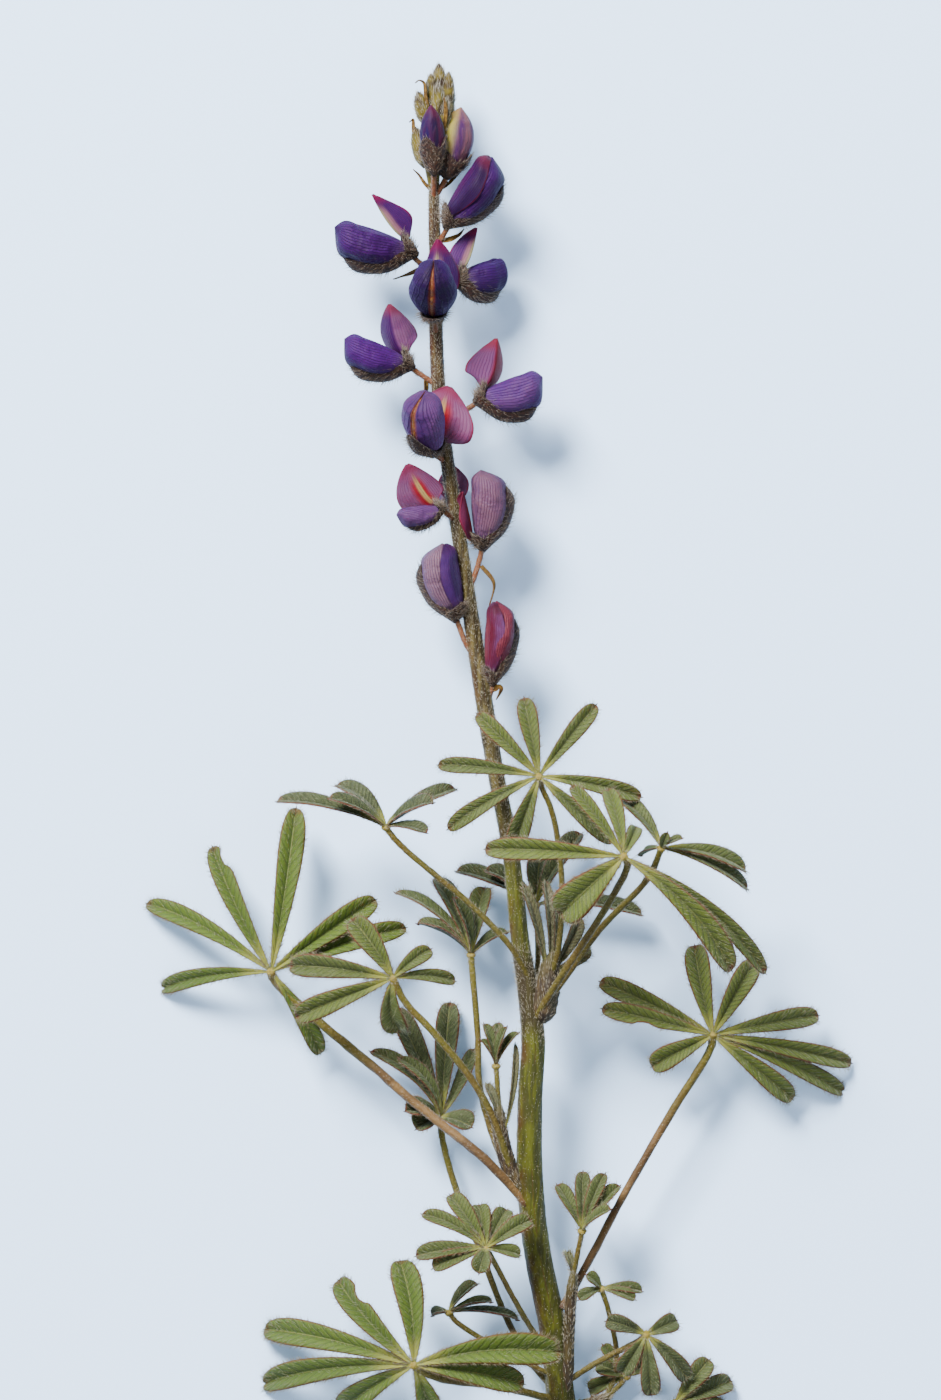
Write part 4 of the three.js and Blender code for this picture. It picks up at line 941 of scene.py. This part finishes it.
BANNERS = {
    kind: banner_finish("banner_" + kind, *colours)
    for kind, *colours in (
        ("fresh", (84, 46, 110), (128, 88, 146), (206, 160, 168), (232, 222, 180), (170, 60, 96)),
        ("ageing", (164, 118, 152), (150, 88, 128), (186, 40, 66), (226, 200, 150), (160, 60, 84)),
        # For lilac and rosy, the sixth colour is painted shade on the far half (redder on rosy), and the
        # seventh picks the near side.
        ("lilac", (150, 104, 150), (176, 132, 168), (96, 50, 96), (120, 80, 130), (176, 84, 96),
         (84, 44, 104), -1),
        ("rosy", (158, 112, 154), (124, 74, 130), (112, 60, 100), (120, 80, 130), (196, 84, 92),
         (158, 56, 70), 1),
        ("closed_fresh", (50, 16, 70), (72, 30, 84), (60, 22, 78), (84, 40, 92), (120, 34, 60)),
        ("closed_ageing", (92, 62, 122), (112, 80, 132), (60, 30, 84), (84, 52, 104), (60, 26, 66)),
        ("closed_faded", (144, 104, 150), (108, 34, 52), (104, 30, 50), (140, 80, 90), (64, 14, 26)),
        ("faded", (148, 80, 110), (120, 50, 74), (168, 34, 56), (216, 180, 140), (130, 50, 64)),
    )
}


# Leaves.


def leaflet_spread(share):
    """A leaflet's half width along its midrib: narrow at the foot, broadest past the middle, blunt."""
    body = share**0.75 * np.sqrt(np.clip(1 - share**5, 0, 1)) / 0.7
    return np.maximum(body, 0.14 * (1 - share))


def add_leaflet(shape, root, tip, face, width, bow, finish, random, tone, hairs, bite=None):
    run = tip - root
    length = np.linalg.norm(run)
    ahead, up = unit(run), square_to(run, face)
    side = unit(np.cross(run, up))
    bow_way = unit(np.array([run[1], -run[0], 0.0]))
    even = np.linspace(0, 1, 30)
    share = 0.3 * (1 - np.cos(math.pi * even)) + 0.4 * even
    across = np.linspace(-1, 1, 13)
    hump = 4 * share * (1 - share)
    arch = 0.07 * length
    centre = moved(root, (run, share), (up, arch * hump), (bow_way, bow * SQUARE * hump))
    tangent = unit(moved(run, (up, arch * (4 - 8 * share))))
    top = unit(np.cross(side, tangent))
    half = np.maximum(leaflet_spread(share) * width * SQUARE / 2, 0.06)
    fold = random.uniform(0.5, 0.8)
    reach = np.tile(np.abs(across), (len(share), 1))
    if bite:
        hand, middle, deep, wide = bite
        notch = deep * np.exp(-(((share - middle) / wide) ** 4))
        reach = np.where(np.sign(across)[None] == hand, reach * (1 - notch[:, None]), reach)
    ripple = 0.03 * np.sin(share * random.uniform(9, 16) + random.uniform(0, 6))[:, None] * reach**2
    lift = half[:, None] * (fold * (1.3 * reach**0.85 - 0.4 * reach**5) + ripple)
    out = np.sign(across) * reach * half[:, None]
    grid = moved(centre[:, None], (side, out), (top[:, None], lift))
    thickness = BLADE_THICKNESS * (1 - 0.6 * reach) * np.clip(3 * (1.02 - share), 0.3, 1)[:, None]
    add_sheet(shape, grid, thickness, finish, share[:, None], across[None], tone)
    add_mucro(shape, tip, ahead, finish, tone)
    roots, facing, _ = scatter(grid, hairs, random, 0.06, 0.98, closed=False)
    facing = away(facing, up)
    outward = np.sign((roots - root) @ side)[:, None] * side
    slant = unit(outward * 0.6 + ahead * random.uniform(0.4, 1.2, (hairs, 1)))
    ways = slant + facing * random.uniform(0.1, 0.4, (hairs, 1))
    add_hairs(shape, roots + facing * 0.12, ways, random.uniform(0.5, 1.0, hairs), DOWN)
    rows = random.integers(3, len(share) - 1, hairs)
    column = random.choice([0, -1], hairs)
    corner, before = grid[rows, column], grid[rows - 1, column]
    roots = corner + (before - corner) * random.uniform(0, 1, (hairs, 1))
    ways = np.where(column == 0, -1.0, 1.0)[:, None] * side
    ways = moved(ways, (ahead, random.uniform(0.3, 1.3, hairs)), (up, random.uniform(-0.2, 0.4, hairs)))
    add_hairs(shape, roots, ways, random.uniform(0.4, 0.9, hairs), FRINGE)


def add_mucro(shape, tip, ahead, finish, tone):
    """The small stiff point at a leaflet's tip."""
    side = unit(np.cross(ahead, np.array([0.1, 0.2, 1.0])))
    ring = circle(around(6), side, np.cross(ahead, side))
    rings = [tip + ahead * far + ring * radius for far, radius in MUCRO_PROFILE]
    add_loft(shape, np.array(rings), finish, np.array([0.99, 0.995, 1.0]), tone)


def add_hub(shape, centre, face, random, hairs=26):
    """The small cushion that the leaflets and the stalk grow from."""
    side = square_to(face, np.array([1, 0.1, 0.1]))
    other = np.cross(face, side)
    turns = around(18)
    ring = circle(turns, side, other) * (1 + 0.08 * np.cos(9 * turns))
    rings = [centre + face * high + ring * (wide * HUB_RADIUS) for high, wide in HUB_PROFILE]
    add_loft(shape, np.array(rings), HUB, np.zeros(len(rings)))
    out = circle(random.uniform(0, 2 * math.pi, (hairs, 1)), side, other)
    add_hairs(shape, centre + out * 0.8 + face * 0.3, out + face, random.uniform(0.3, 0.6, hairs), HAIR)


def add_leaf(shape, layout, tones, finish, random, name=None):
    hub, face, leaf_width, stalk_radius, stalk, tips = layout
    centre, upper = place(hub), direction(face)
    dark, dry = tones
    add_hub(shape, centre, upper, random)
    line = [hub] + stalk
    ahead = np.subtract(line[-1], line[-2])
    line.append(line[-1] + ahead * 10 / max(math.hypot(ahead[0], ahead[1]), 1))
    add_stalk(shape, line, stalk_radius, PETIOLE, random, 70 * len(line), dry, clasp=0.5)
    for index, (right, down, height, *own) in enumerate(tips):
        width, bow = (own + [leaf_width, 0][len(own) :])[:2]
        # The leaf's darkness (painted shade for leaf_06), varied at random from leaflet to leaflet.
        tone = float(np.clip(dark + random.uniform(-0.18, 0.18), 0, 1))
        tip = place((right, down, height + 0.5 * (-1) ** index))
        hairs = int(5.5 * np.linalg.norm(tip - centre) * width / 10)
        bite = BITES.get((name, index))
        add_leaflet(shape, centre, tip, upper, width, bow, finish, random, tone, hairs, bite)


def leaf(name, tones, layout, random):
    shape = Shape()
    add_leaf(shape, layout, tones, LUSH_LEAF if name in LUSH_LEAVES else LEAF, random, name)
    shape.piece(name + "_look", "leaf")


def shoot(name, sheath, tuft, leaves, random):
    shape = Shape()
    grid, centres = tube(sheath, 16, 14, taper=0.14)
    flutes = 0.08 * np.cos(5 * around(16)[:, 0])
    grid = swell(grid, centres, flutes + 0.03 * random.normal(size=grid.shape[:2]))
    add_loft(shape, grid, SHEATH)
    grow_hairs(shape, grid, 500, random, centres, 0.5, 1, (0.4, 0.9), HAIR)
    for root, tip, width in tuft:
        tone = random.uniform(0.3, 0.8)
        root, tip, face = place(root), place(tip), direction(TUFT_FACE)
        add_leaflet(shape, root, tip, face, width, 0, YOUNG_LEAF, random, tone, TUFT_HAIRS)
    for layout in leaves:
        add_leaf(shape, layout, SMALL_LEAF_TONES, LEAF, random)
    shape.piece(name + "_look", "shoot")


# Flowers.


def flower_axes(flower):
    forward = direction(flower["aim"])
    up = square_to(forward, direction(flower["banner"]))
    return place(flower["base"]), forward, up, np.cross(forward, up)


def flower_point(flower, ahead, high, out):
    """Points from shares of the flower's length: forward, towards the banner, and to the side."""
    origin, forward, up, across = flower_axes(flower)
    length = flower["length"]
    depth, breadth = flower.get("depth", 1), flower.get("breadth", 1)
    ahead, high, out = np.broadcast_arrays(ahead, high, out)
    return moved(
        origin, (forward, ahead * length), (up, high * length * depth), (across, out * length * breadth)
    )


def flower_wings(flower, random):
    """Two wings, each a sheet that curls in at its edges, and the keel between them."""
    shape = Shape()
    share = 0.03 + 0.97 * np.sin(np.linspace(0, 1, 24) * math.pi / 2)
    low, high, half = smooth(WING_PROFILE, share).T[:, :, None]
    level = np.linspace(0, 1.08, 15)
    out = smooth(WING_RING, level)[:, 0]
    level = np.where(level > 1, 2 - level, level)
    across = np.linspace(-1, 1, len(level))
    finish = WINGS[flower.get("dress", flower["colour"])]
    for hand in (-1, 1):
        wave = np.sin(5 * level + 7 * share[:, None] + random.uniform(0, 6))
        crinkle = 1 + flower.get("crumple", 0.035) * wave
        aside = hand * (half * out * crinkle + 0.004)
        grid = flower_point(flower, share[:, None], low + (high - low) * level, aside)
        add_sheet(shape, grid, PETAL_THICKNESS, finish, share[:, None], across, flower["wear"])
    along = np.linspace(0.06, 0.95, 16)
    low, high, half = smooth(WING_PROFILE, along).T[:, :, None]
    turns = around(12)[:, 0]
    middle, tall = (low * 0.55 + high * 0.45), (high - low) * 0.47
    grid = flower_point(flower, along[:, None], middle + tall * np.sin(turns), 0.3 * half * np.cos(turns))
    add_loft(shape, grid, KEEL, along)
    shape.piece(flower["name"] + "_wings_look", "petal_" + flower["colour"])


def closed_banner(flower, random):
    """A banner that is still folded down over the upper edges of the wings."""
    ahead = np.linspace(0.03, 0.98, 26)
    low, high, half = smooth(WING_PROFILE, ahead).T[:, :, None]
    hand = np.linspace(-1, 1, 21)
    cover = flower["cover"] * np.sin(np.linspace(0.3, 2.7, len(ahead)))[:, None] ** 0.7
    level = 1.0 - cover * np.abs(hand)
    ring = smooth(WING_RING[:6], level)[..., 0] * np.clip(np.abs(hand) * 5, 0, 1)
    ripple = 0.006 * np.sin(14 * ahead[:, None] + 5 * hand + random.uniform(0, 6))
    out = np.sign(hand) * (half * ring + 0.022 + ripple)
    tall = low + (high - low) * level + 0.035 * (1 - np.abs(hand)) ** 2 + 0.012
    grid = flower_point(flower, ahead[:, None], tall, out)
    return grid, np.linspace(0, 1, len(ahead))[:, None], hand, "closed_" + flower["colour"]


def open_banner(flower, random):
    """A banner that stands up from the wings, with its halves bent back."""
    _, forward, up, across = flower_axes(flower)
    length = flower["length"]
    rise, turn, roll = np.radians((flower["open"], flower["fold"], flower.get("roll", 0)))
    reach = flower.get("banner_length", 0.64) * length
    start, knee = (flower_point(flower, ahead, high, 0.0) for ahead, high in (BANNER_ROOT, BANNER_KNEE))
    tip = knee + reach * (math.cos(rise) * forward + math.sin(rise) * up)
    share = np.linspace(0, 1, 24)[:, None]
    centre = (1 - share) ** 2 * start + 2 * share * (1 - share) * knee + share**2 * tip
    tangent = unit(2 * (1 - share) * (knee - start) + 2 * share * (tip - knee))
    sideways = math.cos(roll) * across + math.sin(roll) * np.cross(tangent, across)
    facing = np.cross(tangent, sideways)
    spread = smooth(BANNER_OUTLINE, share[:, 0])[:, 0] * length * flower.get("banner_width", 1)
    hand = np.linspace(-1, 1, 19)
    bend = turn * (0.55 + 0.55 * np.linspace(0, 1, 10)[1:])
    out, down = (np.concatenate([[0], np.cumsum(part(bend)) / len(bend)]) for part in (np.cos, np.sin))
    out, down = np.concatenate([-out[:0:-1], out]), np.concatenate([down[:0:-1], down])
    half = np.maximum(spread, 0.12)[:, None] * np.where(hand < 0, *flower.get("lobes", (1, 1)))
    wave = 0.03 * length * hand**2 * np.sin(8 * share + 4 * hand + random.uniform(0, 6))
    back = wave * 0.6 - half * down
    sweep = -BANNER_SWEEP * half * np.abs(hand) ** 1.5
    grid = moved(
        centre[:, None], (sideways[:, None], half * out), (facing[:, None], back), (tangent[:, None], sweep)
    )
    return grid, share, hand, flower.get("banner_dress", flower["colour"])


def flower_banner(flower, random):
    grid, share, hand, dress = (closed_banner if "cover" in flower else open_banner)(flower, random)
    shape = Shape()
    add_sheet(shape, grid, PETAL_THICKNESS, BANNERS[dress], share, hand[None], flower["wear"])
    shape.piece(flower["name"] + "_banner_look", "petal_" + flower["colour"])


def flower_calyx(flower, random):
    """A cup with a short two-toothed upper lip and a long boat-shaped lower lip, on its stalk."""
    shape = Shape()
    turns = np.linspace(0, 2 * math.pi, 29) - math.pi / 2
    lower, upper = np.maximum(-np.sin(turns), 0), np.maximum(np.sin(turns), 0)
    notch = 0.06 * np.exp(-(((turns - math.pi / 2) / 0.22) ** 2))
    point = 2.4 if "lip" in flower else 0.7
    lip = 0.07 + (flower.get("lip", 0.84) - 0.07) * lower**point + 0.1 * upper**1.5 - notch
    share = np.linspace(0, 1, 18)[:, None]
    ahead = -0.12 + (lip + 0.12) * share**0.9
    low, high, half = np.moveaxis(smooth(CALYX_PROFILE, ahead), -1, 0)
    level = np.where(np.sin(turns) < 0, low * lower, high * upper)
    grid = flower_point(flower, ahead, level, half * np.cos(turns))
    add_sheet(shape, grid, LIP_THICKNESS, CALYX, share, np.linspace(-1, 1, len(turns)), 0.5)
    middle = flower_point(flower, 0.3, -0.08, 0.0)
    grow_hairs(
        shape, grid, 800, random, middle, (0.3, 1.0), (0.2, 1.2), (0.6, 1.7), BRISTLE, low=0.1, closed=False
    )
    add_stalk(shape, [flower["base"]] + flower["stalk"], STALK_RADIUS, PEDICEL, random, 110, clasp=0.6)
    if "bract" in flower:
        add_bract(shape, flower["bract"], random)
    shape.piece(flower["name"] + "_calyx_look", "calyx")


def add_bract(shape, line, random, half_width=0.42):
    """A dry bract: a narrow curled strip that tapers to a point."""
    centres, _ = curve(with_radius(line, 1.0), 9)
    share = np.linspace(0, 1, len(centres))[:, None]
    tangent = unit(np.gradient(centres, axis=0))
    side = unit(np.cross(tangent, np.array([0.2, 0.1, 1.0])))
    lift = np.cross(side, tangent)
    hand = np.linspace(-1, 1, 7)
    half = half_width * np.sin(np.clip(share * 0.86 + 0.14, 0, 1) * math.pi) ** 0.7 + 0.04
    twist = 1.6 * share + random.uniform(-0.4, 0.4)
    across, curl = circle(twist, side, lift), circle(twist, lift, -side)
    grid = moved(centres[:, None], (across[:, None], hand * half), (curl[:, None], 0.5 * half * hand**2))
    add_sheet(shape, grid, BRACT_THICKNESS, BRACT, share, hand[None], 0.5)


# Buds and the closed head.


def spindle(root, tip, side, other, outline, half, pleats, depth):
    """Rings of a spindle between two points, with pleats along it."""
    share = np.linspace(0, 1, 20)
    wide = smooth(outline, share)[:, 0][:, None, None] * half
    turns = around(20)
    ring = circle(turns, side, 0.85 * other) * (1 + depth * np.cos(pleats * turns))
    return root + (tip - root) * share[:, None, None] + ring[None] * wide


def opening_bud(bud, random):
    root, tip = place(bud["base"]), place(bud["tip"])
    run, half = tip - root, bud["half_width"]
    way = unit(run)
    side = square_to(way, np.array([1.0, 0, 0]))
    top = np.cross(side, way)
    shape = Shape()
    add_loft(shape, spindle(root, tip, side, top, OPENING_OUTLINE, half, 4, 0.07), BUD_PETALS[bud["name"]])
    shape.piece(bud["name"] + "_petals_look", "petal_" + bud["colour"])
    shape = Shape()
    turns = np.linspace(0, 2 * math.pi, 25)
    share = np.linspace(0, 1, 14)[:, None]
    sunk = 0.9 / np.linalg.norm(run)
    teeth = bud["cup_share"] + 0.1 + 0.09 * np.cos(3 * turns)
    ahead = (teeth + sunk) * share - sunk
    wide = half * smooth(CUP_OUTLINE, share[:, 0])
    grid = root + run * ahead[..., None] + circle(turns[:, None], side, 0.85 * top) * wide[..., None]
    add_sheet(shape, grid, LIP_THICKNESS, CALYX, share, np.linspace(-1, 1, len(turns)), 0.5)
    middle = root + run * 0.2
    grow_hairs(shape, grid, 420, random, middle, 0.6, 1, (0.5, 1.3), BRISTLE, low=0.1, closed=False)
    add_stalk(shape, [bud["base"]] + bud["stalk"], STALK_RADIUS, PEDICEL, random, 80)
    shape.piece(bud["name"] + "_calyx_look", "calyx")


def closed_head(random):
    shape = Shape()
    add_loft(shape, tube(HEAD_CORE, 18, 9)[0], BUD)
    for root, tip, half_width in HEAD_BUDS:
        root, tip = place(root), place(tip)
        side = square_to(tip - root, np.array([0.2, 0.1, 1]))
        other = unit(np.cross(tip - root, side))
        grid = spindle(root, tip, side, other, CLOSED_OUTLINE, half_width, 3, 0.06)
        add_loft(shape, grid, BUD, tone=random.uniform(0, 1))
        grow_hairs(
            shape, grid, 260, random, (root + tip) / 2, (0.2, 0.8), 1, (0.4, 1.1), HAIR, low=0.1, high=0.95
        )
    for line in HEAD_BRACTS:
        add_bract(shape, line, random, 0.24)
    shape.piece("closed_head_look", "bud")


# The stem.


def main_stem(random):
    grid, centres = tube(STEM, 28, 16)
    share = np.linspace(0, 1, len(grid))[:, None]
    ridges = 0.03 * np.cos(6 * around(28)[:, 0] + 4 * share) + 0.012 * random.normal(size=grid.shape[:2])
    grid = swell(grid, centres, ridges)
    shape = Shape()
    add_loft(shape, grid, STEM_SKIN)
    for low, high, count, length in STEM_HAIRS:
        part = dict(low=low, high=high)
        lengths = (0.5 * length, 1.2 * length)
        grow_hairs(shape, grid, count, random, centres, (0.4, 1.0), (0.2, 1.0), lengths, HAIR, **part)
    shape.piece("main_stem_look", "stem")


# The room.


def camera():
    data = bpy.data.cameras.new("camera")
    data.sensor_width = SENSOR
    data.lens = SENSOR * CAMERA_DISTANCE / (FIELD_SQUARES * SQUARE * MILLIMETRE)
    data.clip_start, data.clip_end = 0.1, 20.0
    watcher = bpy.data.objects.new("camera", data)
    middle = place(FIELD_MIDDLE) * MILLIMETRE
    watcher.location = (middle[0], middle[1], middle[2] + CAMERA_DISTANCE)
    bpy.context.collection.objects.link(watcher)
    bpy.context.scene.camera = watcher


def lamp(name, location, size, power, colour):
    """A square lamp that looks at the middle of the part."""
    data = bpy.data.lights.new(name, "AREA")
    data.size = size
    data.energy = power
    data.color = colour
    light = bpy.data.objects.new(name, data)
    light.location = location
    way = -np.array(location, float)
    light.rotation_euler = (math.atan2(math.hypot(way[0], way[1]), -way[2]), 0, math.atan2(-way[0], way[1]))
    bpy.context.collection.objects.link(light)


def room():
    bpy.ops.mesh.primitive_plane_add(size=6, location=(0, 0, 0))
    floor = bpy.context.object
    floor.name = "floor"
    floor.data.materials.append(floor_finish())
    lamp("key", (-0.62, 1.0, 1.15), size=0.6, power=140.0, colour=(1.0, 0.985, 0.95))
    lamp("fill", (0.7, -0.6, 1.4), size=1.2, power=12.0, colour=(0.94, 0.97, 1.0))
    world = bpy.context.scene.world or bpy.data.worlds.new("world")
    bpy.context.scene.world = world
    world.use_nodes = True
    sky = world.node_tree.nodes["Background"].inputs
    sky["Color"].default_value = (0.88, 0.94, 1.0, 1.0)
    sky["Strength"].default_value = 0.8


camera()
room()
draw = np.random.default_rng(23)
main_stem(draw)
for name, (sheath, tuft, leaves) in SHOOTS.items():
    shoot(name, sheath, tuft, leaves, draw)
for name, (tones, *layout) in LEAVES.items():
    leaf(name, tones, layout, draw)
for flower in FLOWERS:
    flower_wings(flower, draw)
    flower_banner(flower, draw)
    flower_calyx(flower, draw)
for bud in OPENING_BUDS:
    opening_bud(bud, draw)
closed_head(draw)
